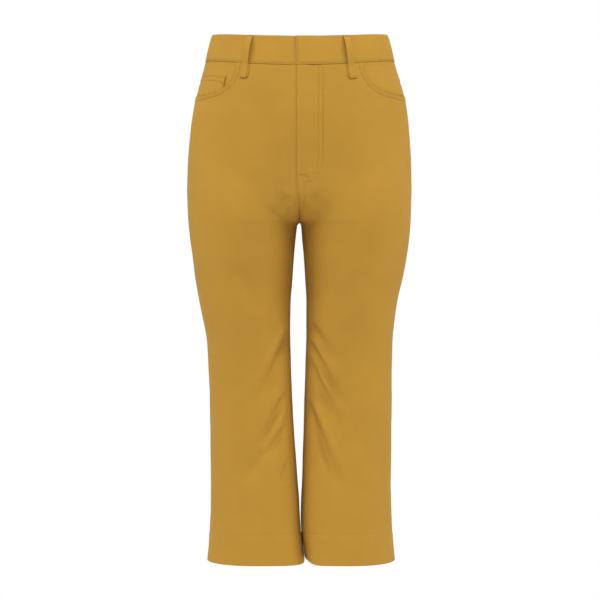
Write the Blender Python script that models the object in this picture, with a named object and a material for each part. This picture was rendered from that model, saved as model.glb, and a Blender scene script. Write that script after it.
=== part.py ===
"""Cropped kick-flare trousers with a five-pocket front, filled out as if worn, with no wearer.

+Z is up and the front faces -Y, so the wearer's right leg lies at -X. The origin is the middle of
the waist, halfway up the waistband. Everything below is in millimetres until it becomes a mesh.

The cloth is one smooth surface that the functions below work out. On each side of the body it is
reached by two numbers:
  down    -1 at the waistband's top edge, 0 at the waist seam, 1 at the crotch, 2 at the hem
  around  0 at the centre front or inseam, 0.5 at the side seam, 1 at the centre back or inseam
Each piece of cloth is a patch of that surface with a thickness, and lies on it or just off it.
"""

import math

import bmesh
import bpy
import numpy as np

METRES = 0.001

# ---- driving dimensions, in millimetres -------------------------------------------------------
CROTCH_Z = -261.0
HEM_Z = -767.0
WAIST_SEAM_SIDE_Z = -19.5
WAIST_SEAM_FRONT_DIP = 14.5
WAIST_SEAM_BACK_RISE = 4.0
WAIST_TOP_SIDE_Z = 19.7
WAIST_TOP_FRONT_DIP = 10.4
WAIST_TOP_BACK_RISE = 6.0

CLOTH = 1.2  # one layer of the stretch gabardine, a little thicker than the real one
SEAM_GAP = 0.3
BAND_OUT = 0.8  # the waistband stands this far proud of the trousers
BAND_IN = -1.0
HEM_DEPTH = 45.0
HEM_LAYERS_IN = -2.4

FRONT_CURVE_HEIGHT = 42.0  # the crotch seam starts to turn under this far above the crotch
BACK_CURVE_HEIGHT = 85.0
THIGH_SHAPE_HEIGHT = 150.0  # the thighs part from the body over this height
CROTCH_Y = 10.0

FLY_LAP = 4.5  # the left front laps over the centre line by this much
FLY_END_DOWN = 0.54
LAP_END_DOWN = 0.64
RAISE_END_DOWN = 0.69
LAP_RAISE = CLOTH + 0.5
LAP_RAMP = 26.0
BAND_UNDERLAP = 14.0
BAND_LAP_HOLD = 17.0
BAND_LAP_RAMP = 18.0

POCKET_AROUND = 0.222  # where the pocket mouth leaves the waist seam
POCKET_DOWN = 0.221  # where it meets the side seam
POCKET_SQUARENESS = 2.75
FACING_OUT = -1.9
FACING_SINK = 1.1
FACING_MARGIN = 12.0
COIN_EDGE_AROUND = 0.262
COIN_TOP_DOWN = 0.088
COIN_IN, COIN_OUT = -1.55, -0.35
COIN_GAPE = 1.1

YOKE_SIDE_DOWN = 0.13
YOKE_CENTRE_DOWN = 0.25

LOOP_WIDTH = 11.5
LOOP_THICKNESS = 1.5
LOOP_STAND_OFF = 3.7
LOOP_GAP = 0.5  # clear of the band at the tacks
LOOP_BOTTOM_DOWN = 0.082
LOOP_TOP_DOWN = -0.965
LOOPS = (  # name, side of the body (-1 wearer's right), around at its top and at its bottom
    ("belt_loop_front_right", -1, 0.1885, 0.182),
    ("belt_loop_front_left", 1, 0.1675, 0.1715),
    ("belt_loop_side_right", -1, 0.700, 0.700),
    ("belt_loop_side_left", 1, 0.700, 0.700),
    ("belt_loop_back", 1, 1.0, 1.0),
)

COTTON = (0.50, 0.29, 0.055, 1.0)
COTTON_ROUGHNESS = 0.85

# ---- the form, in short tables ----------------------------------------------------------------
BODY_COLUMNS = ("height", "right_side", "left_side", "front", "back", "side_y")
BODY_ROWS = (
    (20, 130.8, 132.2, -88, 98, 6),
    (0, 136.2, 137.6, -93, 102, 6),
    (-20, 141.0, 142.2, -98, 107, 6),
    (-47, 148.5, 151.0, -104, 115, 6),
    (-77, 156.0, 158.8, -108, 122, 6),
    (-107, 161.3, 163.2, -110, 128, 6),
    (-137, 165.0, 165.6, -110, 133, 6),
    (-167, 167.3, 167.2, -109, 134, 6),
    (-212, 168.3, 167.9, -107, 129, 7),
    (-237, 167.7, 167.4, -104, 123, 7),
    (-261, 166.5, 166.4, -101, 114, 8),
    (-287, 163.8, 164.3, -98, 103, 7),
    (-317, 159.8, 160.2, -94, 94, 6),
    (-347, 155.7, 153.8, -89, 87, 5),
    (-377, 150.2, 146.8, -85, 81, 4),
    (-407, 144.2, 142.4, -81, 76, 2),
    (-437, 138.9, 139.7, -77, 73, 1),
    (-482, 136.0, 138.2, -74, 71, 0),
    (-527, 134.3, 137.9, -73, 71, 0),
    (-587, 133.6, 137.6, -74, 74, 1),
    (-647, 132.8, 136.8, -76, 77, 3),
    (-677, 132.9, 137.3, -78, 79, 4),
    (-737, 135.6, 140.3, -81, 83, 6),
    (-767, 138.6, 142.9, -83, 86, 7),
)
INSIDE_LEG_COLUMNS = ("height", "right_edge", "left_edge", "right_y", "left_y")
INSIDE_LEG_ROWS = (
    (-261, 0.15, 0.15, 10, 10),
    (-264, 3.0, 2.0, 10, 10),
    (-272, 4.4, 3.0, 9, 9),
    (-287, 5.9, 3.9, 8, 8),
    (-317, 8.4, 6.8, 5, 6),
    (-347, 10.8, 8.7, 3, 5),
    (-377, 13.0, 10.2, 1, 4),
    (-422, 13.8, 10.4, 0, 3),
    (-482, 12.3, 8.6, -2, 4),
    (-527, 10.8, 7.4, -3, 5),
    (-587, 7.0, 5.6, -4, 6),
    (-647, 2.8, 3.8, -4, 6),
    (-677, 0.5, 2.5, -4, 6),
    (-707, -1.2, 2.5, -4, 6),
    (-737, -4.2, 5.3, -3, 5),
    (-767, -7.6, 8.7, -2, 4),
)
# How square the ring is between its inner edge and its front: 2 is an ellipse, more is squarer.
QUARTER_COLUMNS = ("height", "right_inner_front", "left_inner_front")
QUARTER_ROWS = (
    (-261, 2.5, 2.5),
    (-300, 2.3, 2.3),
    (-360, 2.3, 2.3),
    (-420, 2.9, 3.0),
    (-520, 3.5, 3.6),
    (-767, 3.7, 3.8),
)
INSEAM_COLUMNS = ("height", "forward_degrees")
INSEAM_ROWS = ((-261, 0), (-300, 10), (-377, 22), (-480, 28), (-767, 28))

# Soft troughs (depth below zero) and ridges (above), as the front view shows them.
FOLD_COLUMNS = ("side", "face", "from_x", "from_z", "to_x", "to_z", "width", "depth")
FOLD_ROWS = (
    (1, "front", 17, -414, 52, -476, 9.0, -2.2),
    (1, "front", 19, -432, 45, -482, 5.5, 0.9),
    (1, "front", 15, -440, 68, -538, 5.5, -2.4),
    (1, "front", 26, -480, 50, -522, 5.0, 1.1),
    (1, "front", 17, -471, 60, -570, 7.0, -2.3),
    (1, "front", 22, -528, 60, -634, 7.0, 2.0),
    (1, "front", 15, -533, 60, -656, 7.5, -3.2),
    (-1, "front", -24, -415, -64, -520, 7.0, 1.6),
    (-1, "front", -18, -438, -60, -530, 10.0, -2.6),
    (-1, "front", -22, -520, -64, -602, 6.5, -2.5),
    (-1, "front", -23, -541, -48, -592, 5.5, 1.3),
    (-1, "front", -20, -564, -49, -610, 5.0, -1.6),
    (-1, "front", -54, -598, -78, -648, 9.0, -1.5),
    (-1, "front", -17, -616, -28, -654, 6.0, -1.2),
    (1, "back", 22, -300, 80, -330, 10.0, -2.2),
    (1, "back", 20, -330, 72, -372, 9.0, -1.8),
    (-1, "back", -20, -306, -84, -334, 10.0, -2.2),
    (-1, "back", -18, -338, -70, -380, 9.0, -1.8),
    (1, "back", 120, -430, 66, -500, 11.0, -2.0),
    (-1, "back", -118, -438, -64, -512, 11.0, -2.0),
    (1, "back", 118, -500, 60, -566, 10.0, -1.6),
    (-1, "back", -116, -514, -58, -580, 10.0, -1.6),
)


def column(columns, rows, name):
    """One named column of a table, as an array."""
    return np.array([row[columns.index(name)] for row in rows], float)


def smooth_table(columns, rows, name):
    """A function of height that runs through a column without overshooting it."""
    height = column(columns, rows, "height")[::-1]
    value = column(columns, rows, name)[::-1]
    step = np.diff(height)
    slope = np.diff(value) / step
    tangent = np.zeros(len(value))
    tangent[0], tangent[-1] = slope[0], slope[-1]
    for i in range(1, len(value) - 1):
        if slope[i - 1] * slope[i] > 0:
            before, after = 2 * step[i] + step[i - 1], step[i] + 2 * step[i - 1]
            tangent[i] = (before + after) / (before / slope[i - 1] + after / slope[i])

    def read(z):
        z = np.clip(z, height[0], height[-1])
        i = np.clip(np.searchsorted(height, z) - 1, 0, len(step) - 1)
        s = (z - height[i]) / step[i]
        return (
            (2 * s**3 - 3 * s**2 + 1) * value[i]
            + (s**3 - 2 * s**2 + s) * step[i] * tangent[i]
            + (3 * s**2 - 2 * s**3) * value[i + 1]
            + (s**3 - s**2) * step[i] * tangent[i + 1]
        )

    return read


BODY = {n: smooth_table(BODY_COLUMNS, BODY_ROWS, n) for n in BODY_COLUMNS[1:]}
INSIDE_LEG = {n: smooth_table(INSIDE_LEG_COLUMNS, INSIDE_LEG_ROWS, n) for n in INSIDE_LEG_COLUMNS[1:]}
INNER_FRONT = {n: smooth_table(QUARTER_COLUMNS, QUARTER_ROWS, n) for n in QUARTER_COLUMNS[1:]}
INSEAM_FORWARD = smooth_table(INSEAM_COLUMNS, INSEAM_ROWS, "forward_degrees")


def ease(x):
    """0 below 0, 1 above 1, and a smooth step between them."""
    x = np.clip(x, 0.0, 1.0)
    return x * x * (3 - 2 * x)


def mix(a, b, share):
    return a + (b - a) * share


# ---- the cloth's surface ----------------------------------------------------------------------
def waist_seam_z(around):
    front = np.cos(math.pi * np.minimum(around, 0.5)) ** 2
    back = np.cos(math.pi * np.maximum(around, 0.5)) ** 2
    return WAIST_SEAM_SIDE_Z - WAIST_SEAM_FRONT_DIP * front + WAIST_SEAM_BACK_RISE * back


def waist_top_z(around):
    front = np.cos(math.pi * np.minimum(around, 0.5)) ** 2
    back = np.cos(math.pi * np.maximum(around, 0.5)) ** 2
    return WAIST_TOP_SIDE_Z - WAIST_TOP_FRONT_DIP * front + WAIST_TOP_BACK_RISE * back


def crotch_seam(down, top_z, curve_height, reach):
    """Height, and share turned under, of the crotch seam: straight, then a quarter ellipse."""
    straight = top_z - (CROTCH_Z + curve_height)
    curved = math.pi / 2 * np.sqrt((curve_height**2 + reach**2) / 2)
    walked = down * (straight + curved)
    turn = math.pi / 2 * (1 - np.clip((walked - straight) / curved, 0, 1))
    z = np.where(walked < straight, top_z - walked, CROTCH_Z + curve_height * (1 - np.cos(turn)))
    return z, 1 - np.sin(turn)


def quarter(share, squareness):
    """cos and sin of a quarter turn, squared off."""
    c = np.clip(np.cos(math.pi / 2 * share), 0, 1) ** (2 / squareness)
    s = np.clip(np.sin(math.pi / 2 * share), 0, 1) ** (2 / squareness)
    return c, s


def leg_ring(side, z, turn):
    """Distance from the middle and y on a leg's ring.

    turn is 0 at its inner edge, 1 in front, 2 outside and 3 behind.
    """
    right = side < 0
    inner = np.where(z < CROTCH_Z, INSIDE_LEG["right_edge" if right else "left_edge"](z), SEAM_GAP / 2)
    inner_y = np.where(z < CROTCH_Z, INSIDE_LEG["right_y" if right else "left_y"](z), CROTCH_Y)
    outer = BODY["right_side" if right else "left_side"](z)
    outer_y, front, back = BODY["side_y"](z), BODY["front"](z), BODY["back"](z)
    middle = (inner + outer) / 2
    turn = np.mod(turn, 4)
    which = np.floor(turn)
    share = turn - which
    inner_front = INNER_FRONT["right_inner_front" if right else "left_inner_front"](z)
    squareness = np.where(which == 0, inner_front, 2.0)
    share = np.where((which == 1) | (which == 3), 1 - share, share)
    c, s = quarter(share, squareness)
    inside = (which == 0) | (which == 3)
    out = np.where(inside, middle - (middle - inner) * c, middle + (outer - middle) * c)
    start_y = np.where(inside, inner_y, outer_y)
    apex_y = np.where((which == 0) | (which == 1), front, back)
    return out, start_y + (apex_y - start_y) * s


def body_half_ring(side, z, around):
    """Distance from the middle and y on half of the body's ring, above the crotch."""
    outer = BODY["right_side" if side < 0 else "left_side"](z)
    side_y = BODY["side_y"](z)
    half_turn = math.pi * around
    out = SEAM_GAP / 2 + (outer - SEAM_GAP / 2) * np.sin(half_turn)
    apex_y = np.where(around < 0.5, BODY["front"](z), BODY["back"](z))
    return out, side_y + (apex_y - side_y) * np.abs(np.cos(half_turn))


def body_ring_y(side, z, out, is_front):
    """y on the body's ring, at a distance from the middle."""
    outer = BODY["right_side" if side < 0 else "left_side"](z)
    share = np.clip((out - SEAM_GAP / 2) / (outer - SEAM_GAP / 2), 0, 1)
    side_y = BODY["side_y"](z)
    apex_y = np.where(is_front, BODY["front"](z), BODY["back"](z))
    return side_y + (apex_y - side_y) * np.sqrt(1 - share**2)


def thigh_ring_y(side, z, out, is_front):
    """y on the ring of a leg's top, at a distance from the middle."""
    outer = BODY["right_side" if side < 0 else "left_side"](z)
    middle = (SEAM_GAP / 2 + outer) / 2
    inside = out < middle
    c = np.clip(np.abs(out - middle) / (middle - SEAM_GAP / 2), 0, 1)
    inner_front = INNER_FRONT["right_inner_front" if side < 0 else "left_inner_front"](z)
    squareness = np.where(inside & is_front, inner_front, 2.0)
    start_y = np.where(inside, CROTCH_Y, BODY["side_y"](z))
    apex_y = np.where(is_front, BODY["front"](z), BODY["back"](z))
    return start_y + (apex_y - start_y) * (1 - c**squareness) ** (1 / squareness)


def surface(side, down, around):
    """Points of the cloth's outer surface, in millimetres."""
    down, around = np.broadcast_arrays(np.asarray(down, float), np.asarray(around, float))
    mirrored = np.where(around < 0, -1.0, np.where(around > 1, -1.0, 1.0))
    around = np.where(around < 0, -around, np.where(around > 1, 2 - around, around))
    is_front = around < 0.5
    from_seam = np.where(is_front, 2 * around, 2 - 2 * around)
    upper = np.clip(down, 0, 1)
    top_z = waist_seam_z(around)
    front_seam_z, front_under = crotch_seam(upper, waist_seam_z(0.0), FRONT_CURVE_HEIGHT, 108.0)
    back_seam_z, back_under = crotch_seam(upper, waist_seam_z(1.0), BACK_CURVE_HEIGHT, 118.0)
    seam_z = np.where(is_front, front_seam_z, back_seam_z)
    seam_under = np.where(is_front, front_under, back_under)
    side_z = mix(top_z, CROTCH_Z, upper)
    away = ease(from_seam / 0.75)
    start_dip = waist_seam_z(np.where(is_front, 0.0, 1.0))
    z = mix(seam_z + (top_z - start_dip) * (1 - upper), side_z, away)
    z = np.where(down < 0, mix(top_z, waist_top_z(around), -down), z)
    z = np.where(down > 1, mix(CROTCH_Z, HEM_Z, down - 1), z)
    side_under = ease(1 - (side_z - CROTCH_Z) / THIGH_SHAPE_HEIGHT)
    under = np.where(down >= 1, 1.0, np.where(down <= 0, 0.0, mix(seam_under, side_under, away)))

    body_out, body_y = body_half_ring(side, z, around)
    forward = INSEAM_FORWARD(np.minimum(z, CROTCH_Z)) / 90
    turn = np.where(is_front, mix(forward, 2.0, from_seam), mix(4 + forward, 2.0, from_seam))
    leg_out, leg_y = leg_ring(side, z, turn)
    out = mix(body_out, leg_out, under)
    blend_y = mix(body_ring_y(side, z, out, is_front), thigh_ring_y(side, z, out, is_front), under)
    y = np.where(under <= 0, body_y, np.where(under >= 1, leg_y, blend_y))
    return np.stack([side * mirrored * out, y, z], -1)


def outward(side, down, around):
    """The surface's unit normals, out of the garment."""
    step = 1e-3
    down = np.clip(down, -1 + step, 2 - step)
    along = surface(side, down + step, around) - surface(side, down - step, around)
    low = np.where(np.asarray(down) > 1, around - step, np.maximum(around - step, 0.0))
    high = np.where(np.asarray(down) > 1, around + step, np.minimum(around + step, 1.0))
    low = np.where(np.asarray(around) < 0, around - step, low)
    high = np.where(np.asarray(around) > 1, around + step, high)
    across = surface_around(side, down, high) - surface_around(side, down, low)
    normal = side * np.cross(along, across)
    return normal / np.maximum(np.linalg.norm(normal, axis=-1, keepdims=True), 1e-12)


def surface_around(side, down, around):
    """surface(), but below the crotch it runs on round the leg past the inseam."""
    down, around = np.broadcast_arrays(np.asarray(down, float), np.asarray(around, float))
    in_leg = down > 1
    return surface(side, down, np.where(in_leg, np.mod(around, 1.0), around))


def relief(points, normals, side):
    """How far the folds move the cloth out, at points of one side of the body."""
    height = np.zeros(points.shape[:-1])
    for fold in FOLD_ROWS:
        row = dict(zip(FOLD_COLUMNS, fold))
        if row["side"] != side:
            continue
        facing = -normals[..., 1] if row["face"] == "front" else normals[..., 1]
        start = np.array([row["from_x"], row["from_z"]])
        run = np.array([row["to_x"], row["to_z"]]) - start
        length = np.linalg.norm(run)
        offset = points[..., [0, 2]] - start
        along = offset @ run / length**2
        across = (offset[..., 0] * run[1] - offset[..., 1] * run[0]) / length
        width = row["width"] * (0.7 + 0.6 * np.clip(along, 0, 1))
        strength = ease((along + 0.12) / 0.3) * ease((1.1 - along) / 0.55)
        height += row["depth"] * strength * np.exp(-((across / width) ** 2)) * ease(facing / 0.35)
    return height


def cloth_points(side, down, around, out):
    """Points on the folded cloth, moved out by so many millimetres."""
    base = surface(side, down, around)
    normal = outward(side, down, around)
    return base + normal * (relief(base, normal, side) + out)[..., None]


def millimetres_per_around(side, down, around):
    """How many millimetres of cloth one unit of around spans there."""
    step = 1e-3
    inward = np.where(np.asarray(around) > 0.5, around - step, around + step)
    reach = surface(side, down, inward) - surface(side, down, around)
    return np.linalg.norm(reach, axis=-1) / step


def millimetres_per_down(side, down, around):
    step = 1e-3
    reach = surface(side, np.asarray(down) + step, around) - surface(side, down, around)
    return np.linalg.norm(reach, axis=-1) / step


# ---- from patches to solids -------------------------------------------------------------------
def gabardine(name):
    """The cloth's material, one for each piece."""
    made = bpy.data.materials.new(name + "_gabardine")
    made.use_nodes = True
    shader = made.node_tree.nodes["Principled BSDF"]
    shader.inputs["Base Color"].default_value = COTTON
    shader.inputs["Roughness"].default_value = COTTON_ROUGHNESS
    shader.inputs["Metallic"].default_value = 0.0
    return made


def wall(name, outer, inner, garment):
    """A closed wall between two grids of points: their faces and a rim."""
    rows, columns = outer.shape[:2]
    mesh = bmesh.new()
    sheets = []
    for points in (outer, inner):
        sheets.append([[mesh.verts.new(tuple(p * METRES)) for p in row] for row in points])
    top, under = sheets
    for i in range(rows - 1):
        for j in range(columns - 1):
            mesh.faces.new((top[i][j], top[i + 1][j], top[i + 1][j + 1], top[i][j + 1]))
            mesh.faces.new((under[i][j], under[i][j + 1], under[i + 1][j + 1], under[i + 1][j]))
    rim = [(0, j) for j in range(columns)] + [(i, columns - 1) for i in range(1, rows)]
    rim += [(rows - 1, j) for j in range(columns - 2, -1, -1)]
    rim += [(i, 0) for i in range(rows - 2, 0, -1)]
    for (i, j), (k, m) in zip(rim, rim[1:] + rim[:1]):
        mesh.faces.new((top[i][j], top[k][m], under[k][m], under[i][j]))
    bmesh.ops.recalc_face_normals(mesh, faces=mesh.faces)
    data = bpy.data.meshes.new(name)
    mesh.to_mesh(data)
    mesh.free()
    data.materials.append(gabardine(name))
    data.shade_smooth()
    made = bpy.data.objects.new(name, data)
    made.parent = garment
    garment.users_collection[0].objects.link(made)
    return made


def patch(name, side, down, around, out, inner_out, garment):
    """A wall over the grid that down and around give, from out to inner_out."""
    down, around = np.broadcast_arrays(down, around)
    out = np.broadcast_to(out, down.shape)
    inner_out = np.broadcast_to(inner_out, down.shape)
    return wall(
        name,
        cloth_points(side, down, around, out),
        cloth_points(side, down, around, inner_out),
        garment,
    )


def grid(rows, start, end, share):
    """Each row's values run from its start to its end, at the shares of the way given."""
    share = np.asarray(share)
    return mix(np.broadcast_to(start, rows)[:, None], np.broadcast_to(end, rows)[:, None], share)


def seam_inset(side, down, around):
    """Half the seam gap, in units of around, taken off a patch's edge."""
    return SEAM_GAP / 2 / millimetres_per_around(side, down, around)


LEG_ROWS = 32
BODY_ROW_COUNT = 12
PANEL_COLUMNS = 12
FRONT_SHARES = (0, 0.022, 0.05, 0.085, 0.13, 0.2, 0.29, 0.39, 0.5, 0.61, 0.71, 0.81, 0.905, 1)


def leg_downs(count=LEG_ROWS):
    """Rows from the crotch to the hem, closer where the leg starts."""
    share = np.linspace(0, 1, count + 1)[1:]
    return 1 + mix(share**1.25, share, share)


def pocket_mouth(turn):
    """down and around along the pocket mouth: turn is 0 at the waist seam and 1 at the side seam."""
    c, s = quarter(turn, POCKET_SQUARENESS)
    return POCKET_DOWN * s, mix(POCKET_AROUND, 0.5, 1 - c)


def front_edge_out(side, down):
    """How far the left front reaches over the centre line; the right front stops short of it."""
    if side < 0:
        return np.full_like(down, -SEAM_GAP / 2)
    taper = ease((LAP_END_DOWN - down) / (LAP_END_DOWN - FLY_END_DOWN))
    return mix(-SEAM_GAP / 2, FLY_LAP, taper)


def fly_raise(side, down, around):
    """The left front's lap lies on the right front and slopes down to its own side."""
    if side < 0:
        return np.zeros(np.broadcast(down, around).shape)
    from_centre = around * millimetres_per_around(side, down, 0.0)
    lengthwise = ease((RAISE_END_DOWN - down) / (RAISE_END_DOWN - LAP_END_DOWN))
    return LAP_RAISE * ease(1 - (from_centre - 1.0) / LAP_RAMP) * lengthwise


def front_panel(side, garment):
    """From the waist seam to the hem, with the pocket scooped out of its upper corner."""
    mouth_turns = np.linspace(0, 1, 9)
    mouth_down, mouth_around = pocket_mouth(mouth_turns)
    below = np.linspace(POCKET_DOWN, 1, BODY_ROW_COUNT)[1:]
    side_down = np.concatenate([mouth_down, below, leg_downs()])
    seam_down = np.concatenate([np.linspace(0, POCKET_DOWN, len(mouth_turns)), below, leg_downs()])
    side_around = np.concatenate([mouth_around, np.full(len(side_down) - len(mouth_turns), 0.5)])
    per_around = millimetres_per_around(side, np.minimum(seam_down, 0.999), 0.0)
    edge = -front_edge_out(side, seam_down) / per_around
    on_leg = seam_down >= 1
    edge = np.where(on_leg, seam_inset(side, np.maximum(seam_down, 1.001), 0.0), edge)
    side_around = side_around - seam_inset(side, side_down, side_around - 0.01)
    down = grid(len(side_down), seam_down, side_down, FRONT_SHARES)
    around = grid(len(side_down), edge, side_around, FRONT_SHARES)
    top = SEAM_GAP / 2 / millimetres_per_down(side, 0.01, 0.25)
    down = np.maximum(down, top)
    out = fly_raise(side, down, around)
    name = "front_right" if side < 0 else "front_left"
    return patch(name, side, down, around, out, out + hem_inside(down), garment)


def hem_inside(down):
    """How far in the wall's inner face lies: two layers where the hem is turned up."""
    above_hem = (2 - down) * (CROTCH_Z - HEM_Z)
    return mix(HEM_LAYERS_IN, -CLOTH, ease((above_hem - HEM_DEPTH + 6) / 6))


def yoke_seam_down(around):
    return mix(YOKE_SIDE_DOWN, YOKE_CENTRE_DOWN, (around - 0.5) * 2)


def back_panel(side, garment):
    """From the yoke to the hem."""
    share = np.linspace(0, 1, BODY_ROW_COUNT + 2)
    around = np.linspace(0.5, 1, PANEL_COLUMNS + 1)
    body_down = mix(yoke_seam_down(around)[None, :], 1.0, share[:, None])
    body_down[0] += SEAM_GAP / 2 / millimetres_per_down(side, body_down[0], around)
    leg_down = np.broadcast_to(leg_downs()[:, None], (LEG_ROWS, len(around)))
    down = np.concatenate([body_down, leg_down])
    around = np.broadcast_to(around, down.shape).copy()
    around[:, 0] += seam_inset(side, down[:, 0], 0.51)
    on_leg = down[:, -1] > 1
    around[on_leg, -1] -= seam_inset(side, down[on_leg, -1], 1.0)
    name = "back_right" if side < 0 else "back_left"
    return patch(name, side, down, around, 0.0, hem_inside(down), garment)


def yoke(side, garment):
    """The shaped piece between the waistband and the back panel."""
    around = np.linspace(0.5, 1, PANEL_COLUMNS + 1)
    share = np.linspace(0, 1, 4)[:, None]
    down = yoke_seam_down(around)[None, :] * share
    per_down = millimetres_per_down(side, 0.05, around)
    down[0] += SEAM_GAP / 2 / per_down
    down[-1] -= SEAM_GAP / 2 / per_down
    around = np.broadcast_to(around, down.shape).copy()
    around[:, 0] += seam_inset(side, down[:, 0], 0.51)
    name = "yoke_right" if side < 0 else "yoke_left"
    return patch(name, side, down, around, 0.0, -CLOTH, garment)


def under_panel(down, around):
    """Share of the mouth's size by which a point lies beyond the mouth's edge, under the panel."""
    across = np.clip(1 - (around - POCKET_AROUND) / (0.5 - POCKET_AROUND), 0, None)
    reach = across**POCKET_SQUARENESS + (down / POCKET_DOWN) ** POCKET_SQUARENESS
    return np.maximum(reach ** (1 / POCKET_SQUARENESS) - 1, 0)


def pocket_facing(side, garment):
    """The piece seen in the pocket's scoop, running on under the mouth's edge and sinking there."""
    margin_down = FACING_MARGIN / millimetres_per_down(side, 0.2, 0.4)
    margin_around = FACING_MARGIN / millimetres_per_around(side, 0.1, 0.25)
    around = np.linspace(POCKET_AROUND - margin_around, 0.5, 10)
    inward = (around - around[0]) / (0.5 - around[0])
    bottom = (POCKET_DOWN + margin_down) * (0.45 + 0.55 * np.sin(math.pi / 2 * np.sqrt(inward)))
    down = bottom[None, :] * np.linspace(0, 1, 8)[:, None]
    down[0] = SEAM_GAP / 2 / millimetres_per_down(side, 0.01, around)
    around = np.broadcast_to(around, down.shape).copy()
    around[:, -1] -= seam_inset(side, down[:, -1], 0.49)
    out = FACING_OUT - FACING_SINK * ease(under_panel(down, around) / 0.07)
    name = "pocket_facing_right" if side < 0 else "pocket_facing_left"
    return patch(name, side, down, around, out, out - CLOTH, garment)


def mouth_down_at(around):
    """How far down the pocket mouth lies at each around."""
    c = 1 - (np.asarray(around) - POCKET_AROUND) / (0.5 - POCKET_AROUND)
    return POCKET_DOWN * (1 - np.clip(c, 0, 1) ** POCKET_SQUARENESS) ** (1 / POCKET_SQUARENESS)


def coin_pocket(side, garment):
    """The small pocket on the right facing. Its upper inner corner gapes a little."""
    around = np.linspace(COIN_EDGE_AROUND, 0.5, 9)
    around[-1] -= seam_inset(side, 0.1, 0.49)
    margin = 0.6 + 1.4 * ease(1 - (around - COIN_EDGE_AROUND) / 0.08)
    bottom = mouth_down_at(around) - margin / millimetres_per_down(side, 0.15, 0.4)
    share = np.linspace(0, 1, 5)[:, None]
    down = mix(np.full_like(bottom, COIN_TOP_DOWN)[None, :], bottom[None, :], share)
    around = np.broadcast_to(around, down.shape)
    corner = ease(1 - (around - COIN_EDGE_AROUND) / 0.06)
    lift = COIN_GAPE * corner
    return patch("coin_pocket", side, down, around, COIN_OUT + lift, COIN_IN + lift, garment)


def waistband(side, garment):
    """Half of the band. The left end laps over the right end at the centre front."""
    per_around = float(millimetres_per_around(side, -0.5, 0.0))
    reach = FLY_LAP if side > 0 else BAND_UNDERLAP
    near_end = np.array([0.0, 5.0, 10.0, 16.0, 24.0]) - reach
    rest = np.linspace((near_end[-1] + 8) / per_around, 1.0, 26)
    around = np.concatenate([near_end / per_around, rest])
    rows = 4
    seam_gap = SEAM_GAP / 2 / float(millimetres_per_down(side, -0.5, 0.25))
    down = np.linspace(-1.0, -seam_gap, rows)[:, None]
    from_centre = around * per_around
    hold, shift = (BAND_LAP_HOLD, 1.2) if side > 0 else (1.0, -1.0)
    lapped = ease(1 - (from_centre - hold) / BAND_LAP_RAMP)
    out = BAND_OUT + lapped * shift
    inner = BAND_IN + lapped * shift
    name = "waistband_left" if side > 0 else "waistband_right"
    return patch(name, side, down, around[None, :], out[None, :], inner[None, :], garment)


def loop_profile(count):
    """down, inner and outer stand-off along a belt loop, from its top to its bottom."""
    share = np.linspace(0, 1, count)
    down = mix(LOOP_TOP_DOWN, LOOP_BOTTOM_DOWN, share**1.15)
    on_band = ease((0.06 - down) / 0.06)
    rest = LOOP_GAP + BAND_OUT * np.where(down < 0, 1.0, on_band)
    bow = LOOP_STAND_OFF * np.clip(np.sin(math.pi * np.clip((share - 0.07) / 0.86, 0, 1)), 0, 1) ** 0.6
    inner = rest + bow
    fold = ease(1 - share / 0.06) + ease((share - 0.93) / 0.06)
    return down, inner, inner + LOOP_THICKNESS + 0.9 * np.clip(fold, 0, 1)


def belt_loop(name, side, top_around, bottom_around, garment):
    """A narrow strip tacked at its top and bottom, standing off the band between them."""
    down, inner, outer = loop_profile(15)
    share = (down - LOOP_TOP_DOWN) / (LOOP_BOTTOM_DOWN - LOOP_TOP_DOWN)
    middle = mix(top_around, bottom_around, share)
    half = LOOP_WIDTH / 2 / float(millimetres_per_around(side, -0.3, min(top_around, 0.999)))
    across = middle[:, None] + np.linspace(-half, half, 3)
    return patch(name, side, down[:, None], across, outer[:, None], inner[:, None], garment)


def build():
    for old in list(bpy.data.objects):
        bpy.data.objects.remove(old)
    collection = bpy.data.collections.new("cropped_trousers")
    bpy.context.scene.collection.children.link(collection)
    garment = bpy.data.objects.new("waist", None)
    collection.objects.link(garment)
    for side in (-1, 1):
        front_panel(side, garment)
        back_panel(side, garment)
        yoke(side, garment)
        pocket_facing(side, garment)
        waistband(side, garment)
    coin_pocket(-1, garment)
    for name, side, top_around, bottom_around in LOOPS:
        belt_loop(name, side, top_around, bottom_around, garment)


build()
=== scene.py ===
"""Looks for a pair of cropped kick-flare trousers, filled out as if worn, with no wearer.

The garment is sewn from one mustard stretch gabardine with tonal thread. Every piece of cloth is a
thin closed shell on the form of its solid, with its creases, rolled edges and seams. Sizes are in
millimetres until they become a mesh, and the mesh is in metres, in the frame of the solids.
"""

import math

import bmesh
import bpy
import numpy as np
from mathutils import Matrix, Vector, noise
from mathutils.bvhtree import BVHTree
from mathutils.kdtree import KDTree


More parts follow.
